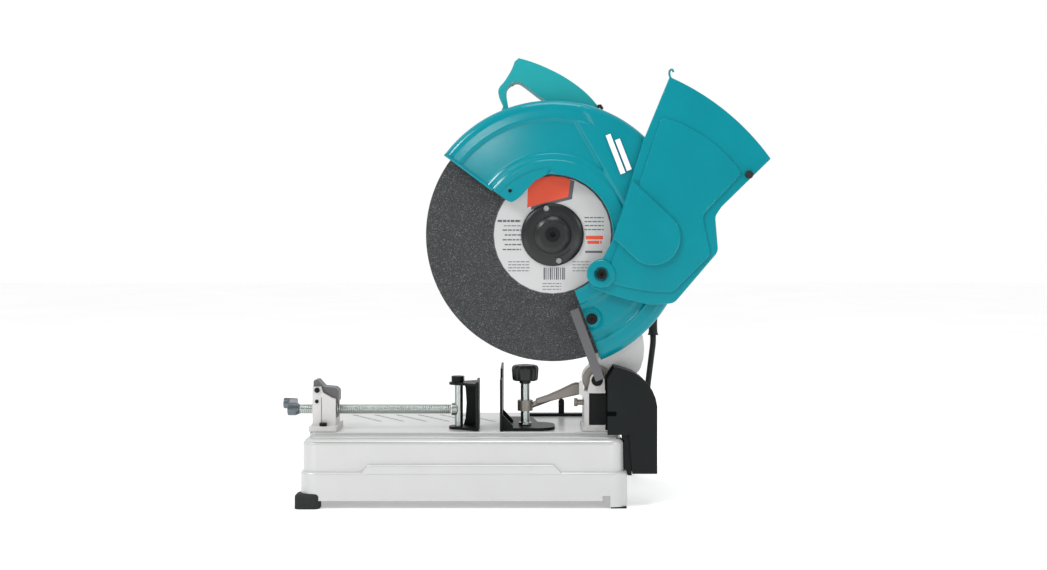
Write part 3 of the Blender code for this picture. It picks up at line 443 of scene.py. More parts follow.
def carve(made, forms, operation="DIFFERENCE"):
    """Cuts or adds other forms with a Boolean that is applied to the piece's mesh."""
    for form in forms:
        cutter = bpy.data.objects.new("cutter", mesh_of(form, "cutter"))
        bpy.context.scene.collection.objects.link(cutter)
        change = made.modifiers.new("cut", "BOOLEAN")
        change.operation = operation
        change.object = cutter
        bpy.context.view_layer.update()
        graph = bpy.context.evaluated_depsgraph_get()
        result = bpy.data.meshes.new_from_object(made.evaluated_get(graph))
        made.modifiers.clear()
        made.data = result
        bpy.data.objects.remove(cutter, do_unlink=True)
    return made


def rod_form(start, axis, length, radius, sides=32):
    """A round rod that starts at a place and runs along an axis."""
    form = bmesh.new()
    bmesh.ops.create_cone(
        form, cap_ends=True, segments=sides, radius1=radius * MM, radius2=radius * MM,
        depth=length * MM
    )
    centre = Vector(start) + Vector(axis).normalized() * length / 2
    bmesh.ops.transform(form, matrix=aligned(axis, centre), verts=form.verts)
    return form


def block_form(low, high):
    """A box between its lowest and highest corner."""
    low, high = Vector(low) * MM, Vector(high) * MM
    form = bmesh.new()
    bmesh.ops.create_cube(form, size=1.0)
    bmesh.ops.scale(form, vec=high - low, verts=form.verts)
    bmesh.ops.translate(form, vec=(low + high) / 2, verts=form.verts)
    return form


def ease(t):
    """A smooth step from 0 to 1."""
    t = min(1.0, max(0.0, t))
    return t * t * (3 - 2 * t)


def shrunk(line, distance):
    """A closed outline moved inwards along its corners' bisectors."""
    count = len(line)
    area = sum(line[i - 1][0] * line[i][1] - line[i][0] * line[i - 1][1] for i in range(count))
    side = 1 if area > 0 else -1
    out = []
    for i, point in enumerate(line):
        before = (Vector(point) - Vector(line[i - 1])).normalized()
        after = (Vector(line[(i + 1) % count]) - Vector(point)).normalized()
        inward = Vector((-(before.y + after.y), before.x + after.x)) * side
        length = inward.length
        if length < 0.2:
            continue
        out.append(tuple(Vector(point) + inward * (distance * 2 / length / length)))
    return out


def skin(form, rings):
    """Joins rings of vertices with faces; the last ring may be one point."""
    for a, b in zip(rings, rings[1:]):
        for i, vert in enumerate(a):
            after = (i + 1) % len(a)
            form.faces.new((vert, a[after], b[after], b[i]) if len(b) > 1 else (vert, a[after], b[0]))


def tube_along(form, points, radius, sides=14):
    """Adds a round tube along points to a form, with closed ends."""
    points = [Vector(p) * MM for p in points]
    starts_along_y = abs((points[1] - points[0]).normalized().y) >= 0.9
    normal = Vector((1, 0, 0)) if starts_along_y else Vector((0, 1, 0))
    rings = []
    for i, point in enumerate(points):
        along = (points[min(i + 1, len(points) - 1)] - points[max(i - 1, 0)]).normalized()
        side = along.cross(normal).normalized()
        normal = side.cross(along).normalized()
        angles = [2 * math.pi * k / sides for k in range(sides)]
        ways = [side * math.cos(a) + normal * math.sin(a) for a in angles]
        rings.append([form.verts.new(point + way * radius * MM) for way in ways])
    skin(form, rings)
    form.faces.new(rings[0][::-1])
    form.faces.new(rings[-1])


def raised(name, outline, back, front, width, body, slot, segments=4):
    """A piece from one outline, between two Y planes and with rounded edges."""
    form = plate_form([outline], back, front, width=width, segments=segments)
    return piece(name, mesh_of(form, name), body, slot)


# ---------------------------------------------------------------- cord


def coil_points():
    """The stored turns, wound in layers that each have an outer and an inner ring."""
    layout = [(0, COIL_OUTER), (0, COIL_INNER), (1, COIL_INNER), (1, COIL_OUTER), (2, COIL_OUTER),
              (2, COIL_INNER), (3, COIL_INNER)]
    per_turn = 24
    points = []
    for turn, (level, radius) in enumerate(layout):
        following = layout[min(turn + 1, len(layout) - 1)]
        last = turn == len(layout) - 1
        count = 3 if last else per_turn
        for i in range(count):
            share = i / per_turn
            moved = ease((share - 0.7) / 0.3)
            r = radius + (following[1] - radius) * moved
            z = 4.5 + (level + (following[0] - level) * moved) * CORD_D
            a = math.radians(COIL_START + 360 * share)
            points.append((COIL_CENTRE.x + r * math.cos(a), COIL_CENTRE.y + r * math.sin(a), z))
    return points


def make_cord():
    """From the boot down to the floor, into the coil, and up into the plug that lies on it."""
    hanging = [
        BOOT_EXIT, (196.3, 20.0, 217.0), (194.6, 23.0, 200.0), (190.5, 34.0, 158.0),
        (187.0, 56.0, 108.0), (183.0, 88.0, 58.0), (177.0, 120.0, 21.0), (168.0, 149.0, 6.5),
        (157.0, 175.0, 4.5), (147.2, 198.7, 4.5),
    ]
    to_plug = [(84.0, 255.5, 33.5), (60.0, 250.0, 40.5), (44.0, 239.0, 47.0), (37.0, 228.0, 48.5)]
    line = smooth_line(hanging, 3) + coil_points()
    line += smooth_line([line[-1], *to_plug], 3)[1:]
    form = bmesh.new()
    tube_along(form, line, CORD_D / 2, 16)
    cord = bpy.data.objects.new("mains_cord", mesh_of(form, "mains_cord"))
    cord.data.materials.append(FINISHES["black_rubber"])
    cord.data.shade_smooth()
    bpy.context.scene.collection.objects.link(cord)
    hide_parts("power_cord", "cord_coil")
    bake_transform(cord)
    plug = refined("power_plug", 2.0, 3)


# ---------------------------------------------------------------- wheel


PRINT_R = 81.0
FLANGE_HOLE_R = 37.7
FLANGE_HOLE_ANGLES = (103.5, -76.5)
FLANGE_RIB_R = 32.0


def label_sector(name, finish_name, inner, outer, start, end, depth=0.12):
    """A printed field on the wheel's label."""
    centre = (WHEEL.x, WHEEL.z)
    outline = arc(centre, outer, start, end, 32) + arc(centre, inner, end, start, 32)
    form = plate_form([outline], WHEEL_FACE - depth, WHEEL_FACE - 0.02)
    return piece(name, mesh_of(form, name), "spindle", "bonded_abrasive", finish_name)


def print_rows(name, rows, finish_name, word=6.5):
    """Plain dashes in place of small print; a row is (left, right, height, thickness)."""
    form = bmesh.new()
    for k, (left, right, height, thick) in enumerate(rows):
        x = left
        i = 0
        while x < right - 0.4:
            length = min(word * (0.55 + 0.45 * math.cos(2.3 * i + 1.7 * k) ** 2), right - x)
            if max(math.hypot(x, height), math.hypot(x + length, height)) < PRINT_R:
                centre = mm(WHEEL.x + x + length / 2, WHEEL_FACE - 0.13, WHEEL.z + height)
                size = Matrix.Diagonal((length * MM, 0.14 * MM, thick * MM, 1))
                bmesh.ops.create_cube(form, size=1.0, matrix=Matrix.Translation(centre) @ size)
            x += length + 1.1
            i += 1
    piece(name, mesh_of(form, name), "spindle", "bonded_abrasive", finish_name)


def make_wheel():
    """The wheel and its label, printed with plain fields, dashes and bars instead of words."""
    bore = 12.8
    half = (WHEEL_HIGH.y - WHEEL_LOW.y) / 2
    profile = [(bore, -half), (WHEEL_R - 1.0, -half), (WHEEL_R, -half + 0.8), (WHEEL_R, half - 0.8),
               (WHEEL_R - 1.0, half), (bore, half)]
    form = turned_form(profile, (0, 1, 0), WHEEL, 160)
    wheel = piece("cutting_wheel", mesh_of(form, "cutting_wheel"), "spindle", "bonded_abrasive")
    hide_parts("abrasive_wheel")
    label_sector("wheel_label", "label_paper", 40.0, 83.5, 0.0, 359.99)
    field = [(WHEEL.x + 22, WHEEL.z + 53), *arc((WHEEL.x, WHEEL.z), 82.5, 72, 114.5, 24),
             (WHEEL.x - 35.5, WHEEL.z + 38), (WHEEL.x - 10, WHEEL.z + 45)]
    form = plate_form([field], WHEEL_FACE - 0.2, WHEEL_FACE - 0.02)
    piece("label_field", mesh_of(form, "label_field"), "spindle", "bonded_abrasive", "label_orange")
    border = [(x + 5.5, z - 3.0) for x, z in field]
    form = plate_form([border], WHEEL_FACE - 0.16, WHEEL_FACE - 0.02)
    piece("label_border", mesh_of(form, "label_border"), "spindle", "bonded_abrasive", "label_dark")
    label_sector("label_band", "label_dark", 82.2, 83.5, 0.0, 359.99, 0.2)
    rows = [(-77, -44, 19.3, 3.0), (-68, -44, 12.5, 1.2)]
    rows += [(-70 + 3 * (i % 2), -44, 6.5 - 6.8 * i, 1.8) for i in range(5)]
    rows += [(-62, -32, -38 - 4.2 * i, 1.2) for i in range(4)]
    rows += [(45, 72, 24 - 5.6 * i, 1.6) for i in range(4)]
    rows += [(-14, 12, -68.5 - 4.0 * i, 1.0) for i in range(3)]
    rows += [(28, 54, -38 - 4.2 * i, 1.0) for i in range(4)]
    print_rows("label_print", rows, "label_dark")
    print_rows("label_stripe", [(47, 71, -4.0, 5.2), (49, 69, -10.6, 4.4)], "label_orange", 30)
    print_rows("label_grey_bar", [(46, 70, -24, 3.0)], "grey_paint", 30)
    bars = [(-12.5 + 2.9 * i, -11.3 + 2.9 * i + 0.8 * (i % 3 == 0), -54.5, 17.0) for i in range(11)]
    print_rows("label_bars", bars, "label_dark", 100)


def make_flanges():
    """The domed outer flange with its two holes and three ribs, the inner flange and the bolt."""
    face = WHEEL_FACE - 0.3
    centre = (WHEEL.x, WHEEL.z)
    profile = [(5.3, 12.5), (18.5, 12.5), (20.5, 12.0), (25.2, 8.6), (26, 7.6), (26.6, 6.6),
               (36.5, 5.8), (40.5, 4.4), (43.4, 2.6), (44, 1.8), (44, 0), (5.3, 0)]
    form = turned_form(profile, (0, -1, 0), (WHEEL.x, face, WHEEL.z), 96)
    outer = piece("clamp_flange", mesh_of(form, "clamp_flange"), "spindle", "black_paint", "flange_black")
    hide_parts("outer_flange")
    places = [arc(centre, FLANGE_HOLE_R, angle, angle, 1)[0] for angle in FLANGE_HOLE_ANGLES]
    carve(outer, [rod_form((x, face - 20, z), (0, 1, 0), 19.5, 4.3) for x, z in places])
    for i, (x, z) in enumerate(places):
        form = rod_form((x, face - 1.6, z), (0, 1, 0), 1.2, 3.9)
        piece(f"flange_hole_floor_{i}", mesh_of(form, "floor"), "spindle", "plated_steel", "label_paper")
    refined("inner_flange", 0.6)
    refined("arbor_bolt", 0.5, 3)
    for i in range(3):
        start = 40 + 120 * i
        outer_edge = arc(centre, FLANGE_RIB_R + 1.0, start, start + 40, 12)
        inner_edge = arc(centre, FLANGE_RIB_R - 1.0, start + 40, start, 12)
        form = plate_form([outer_edge + inner_edge], face - 6.45, face - 5.6)
        piece(f"flange_rib_{i}", mesh_of(form, "flange_rib"), "spindle", "black_paint", "flange_black")


# ---------------------------------------------------------------- guard


def polar(radius, degrees):
    """A place about the wheel's axis."""
    a = math.radians(degrees)
    return Vector((radius * math.cos(a), radius * math.sin(a)))


def signed_distance(point, a, b):
    """Distance of a point to the left of the line from a to b."""
    along = (b - a).normalized()
    return along.x * (point - a).y - along.y * (point - a).x


# Pressed shapes on the guard's face, in polar places (radius, degrees) about the wheel
PANEL_OUTER = 161.0
PANEL_STEP = 112.0
PANEL_INNER = 104.0
PANEL_RIGHT = (polar(158, 77.9), polar(119, 56.6))
SECOND_RIGHT = (polar(178, 75.6), polar(125, 33.2))
BAND_INNER = 161.0
LOWER_STEP_R = 150.0
LUG_START = 92.0
LUG_HOLE = (-15.7, 437.4)
DISH = Vector((97.4, 259.9)) - Vector((WHEEL.x, WHEEL.z))


def guard_depth(radius, degrees):
    """How far the guard's pressed face stands back from its front plane."""
    point = polar(radius, degrees)
    right = signed_distance(point, PANEL_RIGHT[0], PANEL_RIGHT[1])
    second = signed_distance(point, SECOND_RIGHT[0], SECOND_RIGHT[1])
    in_panel = ease((-right) / 3.4 + 0.5) * ease((PANEL_OUTER - radius) / 3.4 + 0.5)
    in_panel *= ease((radius - PANEL_INNER) / 3.4 + 0.5)
    band = ease((radius - BAND_INNER) / 4.0 + 0.3) * ease((-second) / 3.4 + 0.5)
    depth = 0.4 + 4.2 * in_panel
    depth -= 2.0 * in_panel * ease((PANEL_STEP + 1 - radius) / 3.0 + 0.5)
    depth += 2.2 * band * (1 - 0.5 * in_panel)
    lower = ease((radius - LOWER_STEP_R) / 3.0 + 0.5) * ease((-28 - degrees) / 6.0)
    depth += 2.4 * lower
    gap = (point - DISH).length
    depth += 1.6 * ease((17 - gap) / 4.0) - 1.0 * ease((10.5 - gap) / 2.0)
    over = max(0.0, radius - RIM_START)
    depth += RIM_BEND * (1 - math.sqrt(max(0.0, 1 - (over / RIM_BEND) ** 2)))
    lip = ease((WINDOW_R + 2.5 - radius) / 2.5) * ease((LUG_START - degrees) / 6.0)
    return depth - 0.9 * lip


def make_guard():
    """One pressed sheet: embossed face, rounded rim, outer wall and back, then given its thickness."""
    radii = [WINDOW_R + 1.5 * i for i in range(int((RIM_START - WINDOW_R) / 1.5) + 1)]
    radii += [RIM_START + RIM_BEND * math.sin(math.radians(90 * i / 8)) for i in range(1, 9)]
    wall_front = CASE_FRONT + RIM_BEND + 2
    wall = [wall_front + (CASE_BACK - wall_front) * i / 3 for i in range(1, 4)]
    back = [182.0, 140.0, 100.0, 62.0]
    steps = 320
    form = bmesh.new()
    rows = []
    for k in range(steps + 1):
        degrees = CASE_START + (CASE_END - CASE_START) * k / steps
        row = []
        for radius in radii:
            flat = polar(radius, degrees)
            y = CASE_FRONT + guard_depth(radius, degrees) + CASE_SHEET
            row.append(form.verts.new(mm(WHEEL.x + flat.x, y, WHEEL.z + flat.y)))
        for y in wall:
            flat = polar(CASE_R, degrees)
            row.append(form.verts.new(mm(WHEEL.x + flat.x, y - CASE_SHEET * 0.4, WHEEL.z + flat.y)))
        for radius in back:
            flat = polar(radius, degrees)
            row.append(form.verts.new(mm(WHEEL.x + flat.x, CASE_BACK - 0.1, WHEEL.z + flat.y)))
        rows.append(row)
    for low, high in zip(rows, rows[1:]):
        for a, b, c, d in zip(low, low[1:], high[1:], high):
            form.faces.new((a, b, c, d))
    mesh = mesh_of(form, "wheel_guard")
    guard = piece("wheel_guard", mesh, "head", "teal_paint", sharp=50)
    sheet = guard.modifiers.new("sheet", "SOLIDIFY")
    sheet.thickness = CASE_SHEET * MM
    sheet.offset = -1
    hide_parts("blade_case")
    return guard


def make_guard_fittings():
    """The lug with its eyelet, a black disc of painted shade in the eyelet's hole, the curled end lip,
    bolt, deflector strip, stripes and clip.
    """
    front = CASE_FRONT + 0.32
    centre = (WHEEL.x, WHEEL.z)
    edge = [(80, 143.3), (72.7, 141.5), (69.7, 134.5), (69.8, 127), (73, 118), (78.5, 108), (83, 97)]
    knots = [tuple(polar(*place) + Vector(centre)) for place in edge]
    lug = arc(centre, 92, 92, 143.3, 16) + smooth_line(knots, 5)
    form = plate_form([lug], front, front + 1.8, width=0.5)
    made = piece("guard_lug", mesh_of(form, "guard_lug"), "head", "teal_paint")
    hole_x, hole_z = LUG_HOLE
    carve(made, [rod_form((hole_x, -140, hole_z), (0, 1, 0), 40, 3.0)])
    rings = [(2.7, 0.7), (4.2, 0.6), (4.8, 0), (4.8, -1.0), (2.7, -1.0)]
    form = turned_form(rings, (0, -1, 0), (hole_x, front, hole_z), 32)
    piece("lug_eyelet", mesh_of(form, "lug_eyelet"), "head", "teal_paint")
    # A black disc inside the eyelet's hole: painted shade that darkens the opening.
    form = rod_form((hole_x, front - 0.2, hole_z), (0, 1, 0), 0.8, 2.75)
    piece("lug_hole", mesh_of(form, "lug_hole"), "head", "black_paint")
    ends = [polar(radius, CASE_END - 0.2) for radius in (104, 187)]
    start, end = [Vector((WHEEL.x + p.x, CASE_FRONT + 3.6, WHEEL.z + p.y)) for p in ends]
    form = rod_form(start, end - start, (end - start).length, 2.2)
    piece("guard_end_lip", mesh_of(form, "guard_end_lip"), "head", "teal_paint")
    refined("guard_bolt", 0.5, 3)
    refined("spark_deflector", 0.4)
    for i, (shift, length) in enumerate(((0.0, 58.0), (13.0, 46.0))):
        top = Vector((117.0 + shift, 514.0 - 0.5 * shift))
        run = Vector((0.36, -0.93)) * length
        side = Vector((0.93, 0.36)) * 7.0
        bar = [tuple(top), tuple(top + side), tuple(top + side + run), tuple(top + run)]
        form = plate_form([bar], CASE_FRONT - 0.1, CASE_FRONT + 1.0)
        piece(f"guard_stripe_{i}", mesh_of(form, "guard_stripe"), "head", "teal_paint", "white_print")
    hook = [(105.5, 552), (108, 561), (113.0, 561.4), (116.4, 556), (113.8, 552), (111.5, 556.4),
            (109.2, 556), (109, 551)]
    form = plate_form([hook], -84, -80.5, width=0.4)
    piece("cable_clip", mesh_of(form, "cable_clip"), "head", "black_plastic")


# ---------------------------------------------------------------- cover


COVER_FRONT = -131.5
COVER_BACK = -125.5
BULGE = (181.3, 372.2)
BULGE_R = 39.0


def cover_outline(inset=0.0):
    """The swinging cover's side, as in the frame."""
    rim = through((205.1, 594.8), (291.0, 540.7), (345.2, 481.3), 24)
    low = through((180.6, 279.0), (140, 288), (96.0, 303.5), 6)
    heel = through((90.7, 324.5), (98, 337), (113.0, 344.0), 6)
    corners = {(277.2, 415.0): 0, (268.3, 401.7): 14, (272.4, 352.7): 16, (211.5, 281.5): 16}
    edge = [(126.2, 368.8), (151.2, 451.0), (168.5, 505.7)]
    points = [*rim, *corners, *low, *heel, *edge]
    line = rounded(points, [corners.get(point, 0) for point in points], 8)
    return shrunk(line, inset) if inset else line


def make_cover():
    """The swinging cover: a hollow shell, its raised panel and swelling, a ring and a hook."""
    shell = raised(
        "swing_cover", cover_outline(), COVER_BACK, COVER_FRONT + 2.6, 1.6, "cover", "teal_paint"
    )
    hollow = plate_form([cover_outline(2.0)], COVER_BACK + 1, COVER_FRONT + 4.6)
    carve(shell, [hollow, rod_form((HINGE.x, -150, HINGE.z), (0, 1, 0), 40, 5.3)])
    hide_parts("centre_cover")
    top = through((193.7, 539.1), (258.0, 509.0), (305.2, 461.3), 12)
    low = through((209.0, 296.5), (160.0, 300.0), (124.0, 309.0), 6)
    panel = rounded(
        [*top, (250.3, 402.9), (262.0, 348.3), *low, (124.0, 338.0), (136.0, 368.0), (164.1, 450.6)],
        [7, *[0] * 11, 7, 16, 12, 8, *[0] * 5, 6, 4, 6, 0], 6
    )
    raised("cover_panel", panel, COVER_FRONT + 3.6, COVER_FRONT + 0.1, 2.2, "cover", "teal_paint", 4)
    drop = [(153.1, 452.0), *arc(BULGE, BULGE_R, 37.5, -122, 28), (126.8, 370.4)]
    raised("cover_swelling", drop, COVER_FRONT + 1.5, COVER_FRONT - 4.4, 2.6, "cover", "teal_paint", 5)
    rings = [(9.5, 2.6), (11.0, 3.4), (18.4, 3.0), (19.6, 1.8), (20.0, 0), (9.5, 0)]
    form = turned_form(rings, (0, -1, 0), (HINGE.x, COVER_FRONT + 1, HINGE.z), 64)
    piece("cover_ring", mesh_of(form, "cover_ring"), "cover", "teal_paint")
    bend = [(206.5, 593.0), (204.8, 598.0), (205.4, 603.2), (208.6, 604.6), (210.6, 601.2)]
    form = bmesh.new()
    tube_along(form, [(x, COVER_FRONT + 3.2, z) for x, z in smooth_line(bend, 5)], 1.5)
    piece("cover_hook", mesh_of(form, "cover_hook"), "cover", "teal_paint")
    refined("cover_bumper", 0.6, 3)
    refined("cover_hinge_bolt", 0.5, 3)


# ---------------------------------------------------------------- base


BASE_LOW, BASE_HIGH = box_mm("base_pan")
BASE_X0 = BASE_LOW.x
BASE_X1 = BASE_HIGH.x
HALF_Y = BASE_HIGH.y
TABLE_Z = BASE_HIGH.z
STRIP_Z = TABLE_Z - 4.6
STEP_Z = 50.0
CORNER_R = 26.0
TABLE_NEAR_Y = -92.0
PAN_WALL = 5.5
GROOVE_COUNT = 6
GROOVE_SPACING = 34.0
GROOVE_RUN = Vector((52.0, -82.0))
GROOVE_HALF = 3.2


def rounded_rectangle(low, high, radius, steps=10):
    corners = [low, (high[0], low[1]), high, (low[0], high[1])]
    return rounded(corners, [radius] * 4, steps)


def flat_plate(outline, low, high, top_width, segments=5):
    """A horizontal slab whose upper edge is rounded."""
    form = plate_form([outline], low, high, flat=True)
    top = [e for e in form.edges if all(abs(v.co.z - high * MM) < 1e-6 for v in e.verts)]
    bmesh.ops.bevel(form, geom=top, offset=top_width * MM, segments=segments, profile=0.5, affect="EDGES",
                    clamp_overlap=True)
    return form


def make_base():
    """The pressed pan: wide skirt, narrower wall with a big rounded top, strip, step and table."""
    inner = HALF_Y - 4.5
    skirt = rounded_rectangle((BASE_X0, -HALF_Y), (BASE_X1, HALF_Y), CORNER_R)
    form = flat_plate(skirt, 2.5, STEP_Z, 3.8)
    pan = piece("pressed_pan", mesh_of(form, "pressed_pan"), "base", "silver_paint")
    upper = rounded_rectangle((BASE_X0 + 3, -inner), (BASE_X1 - 5, inner), CORNER_R - 3)
    table = rounded_rectangle((BASE_X0 + 6, TABLE_NEAR_Y), (BASE_X1 - 9, inner - 4.5), 10)
    band = [(-224, STEP_Z - 4), (-211, STEP_Z + 10.5), (45, STEP_Z + 10.5), (58, STEP_Z - 4)]
    swell = plate_form([rounded(band, [0, 5, 5, 0], 5)], -HALF_Y, HALF_Y, width=3.0)
    wall = flat_plate(upper, 30, STRIP_Z, 8.0, 8)
    table_top = flat_plate(table, STRIP_Z - 2, TABLE_Z, 2.0, 4)
    carve(pan, [wall, swell, table_top], "UNION")
    hollow = rounded_rectangle(
        (BASE_X0 + PAN_WALL, PAN_WALL - HALF_Y), (BASE_X1 - PAN_WALL - 3, HALF_Y - PAN_WALL),
        CORNER_R - PAN_WALL
    )
    cuts = [
        plate_form([hollow], -5, STRIP_Z - 3.5, flat=True),
        block_form((-330, -160, -5), (111.2, 160, 11)),
        block_form((111.2, -160, -5), (122.0, 160, 18)),
    ]
    carve(pan, cuts)
    grooves = []
    side = Vector((-GROOVE_RUN.y, GROOVE_RUN.x)).normalized() * GROOVE_HALF
    for i in range(GROOVE_COUNT):
        start = Vector((-262 + GROOVE_SPACING * i, 105.0))
        end = start + GROOVE_RUN
        corners = [tuple(p) for p in (start + side, start - side, end - side, end + side)]
        outline = rounded(corners, [3.1] * 4, 6)
        grooves.append(plate_form([outline], TABLE_Z - 1.2, TABLE_Z + 5, flat=True))
    carve(pan, grooves)
    pan.data.shade_smooth()
    pan.data.set_sharp_from_angle(angle=math.radians(32))
    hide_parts("base_pan")
    left, right, line_y = BASE_X0 + 16, BASE_X1 - 16, -HALF_Y + 19.0
    strip = [(left, line_y), (right, line_y), (right, line_y + 3), (left, line_y + 3)]
    form = flat_plate(strip, STRIP_Z - 1, STRIP_Z + 1.6, 0.8, 3)
    piece("table_step", mesh_of(form, "table_step"), "base", "silver_paint")


def make_feet():
    """Rounded rubber feet under the front, and the rear feet as in the frame."""
    for side in ("near", "far"):
        name = "front_foot_" + side
        low, high = box_mm(name)
        outline = rounded_rectangle((low.x, low.y), (high.x, high.y), 9.0)
        form = flat_plate(outline, low.z, high.z, 4.5)
        foot = piece(name + "_body", mesh_of(form, name), "base", "black_rubber", sharp=50)
        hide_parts(name)
        refined("rear_foot_" + side, 0.8, 2)


# ---------------------------------------------------------------- vise and fence


THREAD_PITCH = 3.0
THREAD_DEPTH = 1.0
POST_NUT_R = 9.0
POST_NUT_HEIGHT = 8.0
KNOB_FLUTES = 10
KNOB_FLUTE_SHARE = 0.09
PADDLE_HALF = 7.2


def make_vise_screw():
    """The screw with its rolled thread."""
    low, high = box_mm("vise_screw")
    radius = (high.z - low.z) / 2
    y, z = (low.y + high.y) / 2, (low.z + high.z) / 2
    sides = 20
    length = high.x - low.x - 2
    count = int(length / THREAD_PITCH * 6)
    form = bmesh.new()
    rings = []
    for j in range(count + 1):
        along = length * j / count
        ring = []
        for i in range(sides):
            a = 2 * math.pi * i / sides
            turn = (along / THREAD_PITCH - i / sides) % 1.0
            r = radius - THREAD_DEPTH * abs(2 * turn - 1) ** 0.8
            ring.append(form.verts.new(mm(low.x + 1 + along, y + r * math.cos(a), z + r * math.sin(a))))
        rings.append(ring)
    skin(form, rings)
    form.faces.new(rings[0])
    form.faces.new(rings[-1][::-1])
    mesh = mesh_of(form, "threaded_screw")
    made = piece("threaded_screw", mesh, "vise_screw", "plated_steel", sharp=80)
    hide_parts("vise_screw")


def make_vise():
    """The screw, its holder and crank, and the carriage with its post and swivel jaw."""
    make_vise_screw()
    refined("screw_holder", 2.2, 3)
    refined("nut_lever", 1.2, 3)
    refined("vise_crank", 1.2, 3, "dark_steel")
    refined("vise_post", 0.7, 2)
    low, high = box_mm("vise_post")
    nut_start = (high.x - POST_NUT_R, (low.y + high.y) / 2, high.z - POST_NUT_HEIGHT + 0.2)
    form = rod_form(nut_start, (0, 0, 1), POST_NUT_HEIGHT, POST_NUT_R + 0.4)
    bevel_sharp(form, 0.8, 2, 50)
    piece("post_nut", mesh_of(form, "post_nut"), "vise_carriage", "black_paint")
    refined("vise_jaw", 0.8, 3)
    for name in ("nut_pin", "holder_bolt_near", "holder_bolt_far"):
        refined(name, 0.4, 2)
    low = box_mm("screw_holder")[0]
    face = box_mm("nut_pin")[0].y + 3.0
    form = rod_form((low.x + 9.5, face + 0.2, 140), (0, -1, 0), 1.6, 2.6)
    piece("holder_pin", mesh_of(form, "holder_pin"), "base", "black_paint")
    seam = [(low.x + 15.6, 108), (low.x + 16.3, 108), (low.x + 16.3, 146), (low.x + 15.6, 146)]
    form = plate_form([seam], face - 0.15, face + 0.6)
    piece("holder_seam", mesh_of(form, "holder_seam"), "base", "cast_aluminium", "grey_paint")


def make_knob():
    """A moulded hand knob: ten soft flutes, a domed top with a dimple, and a collar below."""
    low, high = box_mm("fence_knob")
    x, y = (low.x + high.x) / 2, (low.y + high.y) / 2
    levels = [(0.42, 0.0), (0.42, 3.4), (0.86, 3.8), (0.93, 5.2), (0.95, 8), (1.0, 20.5),
              (0.97, 23.5), (0.86, 25.8), (0.66, 26.5), (0.34, 26.4), (0.22, 25.4), (0.0, 25.2)]
    around = 120
    radius = (high.x - low.x) / 2
    form = bmesh.new()
    rings = []
    for share, height in levels:
        depth = KNOB_FLUTE_SHARE if share > 0.8 and height < 25 else 0.0
        ring = []
        for i in range(around if share else 1):
            a = 2 * math.pi * i / around
            flute = 1.0 - depth * (0.5 - 0.5 * math.cos(KNOB_FLUTES * a)) ** 2
            r = radius * share * flute
            ring.append(form.verts.new(mm(x + r * math.cos(a), y + r * math.sin(a), low.z + height)))
        rings.append(ring)
    skin(form, rings)
    form.faces.new(rings[0][::-1])
    made = piece("hand_knob", mesh_of(form, "hand_knob"), "fence_knob", "black_plastic", sharp=50)
    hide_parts("fence_knob")


def make_fence():
    """The fence, its lock plate, pillar and knob, and the lever with a broad paddle."""
    for name in ("fence_plate", "fence_lock_plate"):
        refined(name, 0.8, 2)
    refined("fence_pillar", 0.6, 2)
    make_knob()
    refined("fence_lever", 1.2, 3, "dull_steel")
    low, high = box_mm("fence_lever")
    y = (low.y + high.y) / 2
    paddle = [(22, 132.8), (55, 141.0), (85.5, 147.8), (85.5, 166), (74, 163.2), (55, 154),
              (38, 146.6), (20, 140.6)]
    outline = rounded(paddle, [0, 0, 5, 7, 12, 0, 0, 0], 6)
    form = plate_form([outline], y - PADDLE_HALF, y + PADDLE_HALF, width=2.2, segments=4)
    piece("lever_paddle", mesh_of(form, "lever_paddle"), "fence_lever", "plated_steel", "dull_steel")


# ---------------------------------------------------------------- head


BOSS_FACE_Y = -78.5
COVER_BOLT_CIRCLE_R = 49.0
VENT_COUNT = 16
VENT_CIRCLE_R = 44.0
RIB_COUNT = 10
RIB_SPACING = 8.5


def make_castings():
    """The bracket, the arm and its cover with bolts, the pivot's ring, and the spark guard."""
    for name in ("pivot_bracket", "gear_housing", "gear_cover"):
        refined(name, 1.4, 3)
    refined("pivot_shaft", 0.5, 2)
    refined("stop_bolt", 0.5, 2, "dull_steel")
    pivot = middle_mm("pivot_shaft")
    rings = [(8.4, 0.3), (20.0, 0.3), (20.3, 0), (20.3, -4), (8.4, -4)]
    form = turned_form(rings, (0, -1, 0), (pivot.x, BOSS_FACE_Y, pivot.z), 64)
    piece("boss_sleeve", mesh_of(form, "boss_sleeve"), "head", "cast_aluminium", "dull_steel")
    refined("bracket_pad", 0.4, 2)
    back = box_mm("gear_cover")[1].y
    for i, angle in enumerate((70, 120, 170, 225)):
        x, z = arc((WHEEL.x, WHEEL.z), COVER_BOLT_CIRCLE_R, angle, angle, 1)[0]
        form = rod_form((x, back - 1, z), (0, 1, 0), 5, 5.2, sides=6)
        bevel_sharp(form, 0.7, 2, 50)
        piece(f"gear_cover_bolt_{i}", mesh_of(form, "gear_cover_bolt"), "head", "plated_steel")
    refined("spark_guard", 0.9, 3)
    edges = (
        ((142.4, -126, 52), (153, -110, 99)),
        ((147.4, -126, 43), (153, -110, 52)),
        ((139.9, -126, 91.9), (142.4, -110, 99)),
    )
    for i, (low, high) in enumerate(edges):
        form = block_form(low, high)
        piece(f"guard_inner_edge_{i}", mesh_of(form, "guard_inner_edge"), "base", "black_paint")


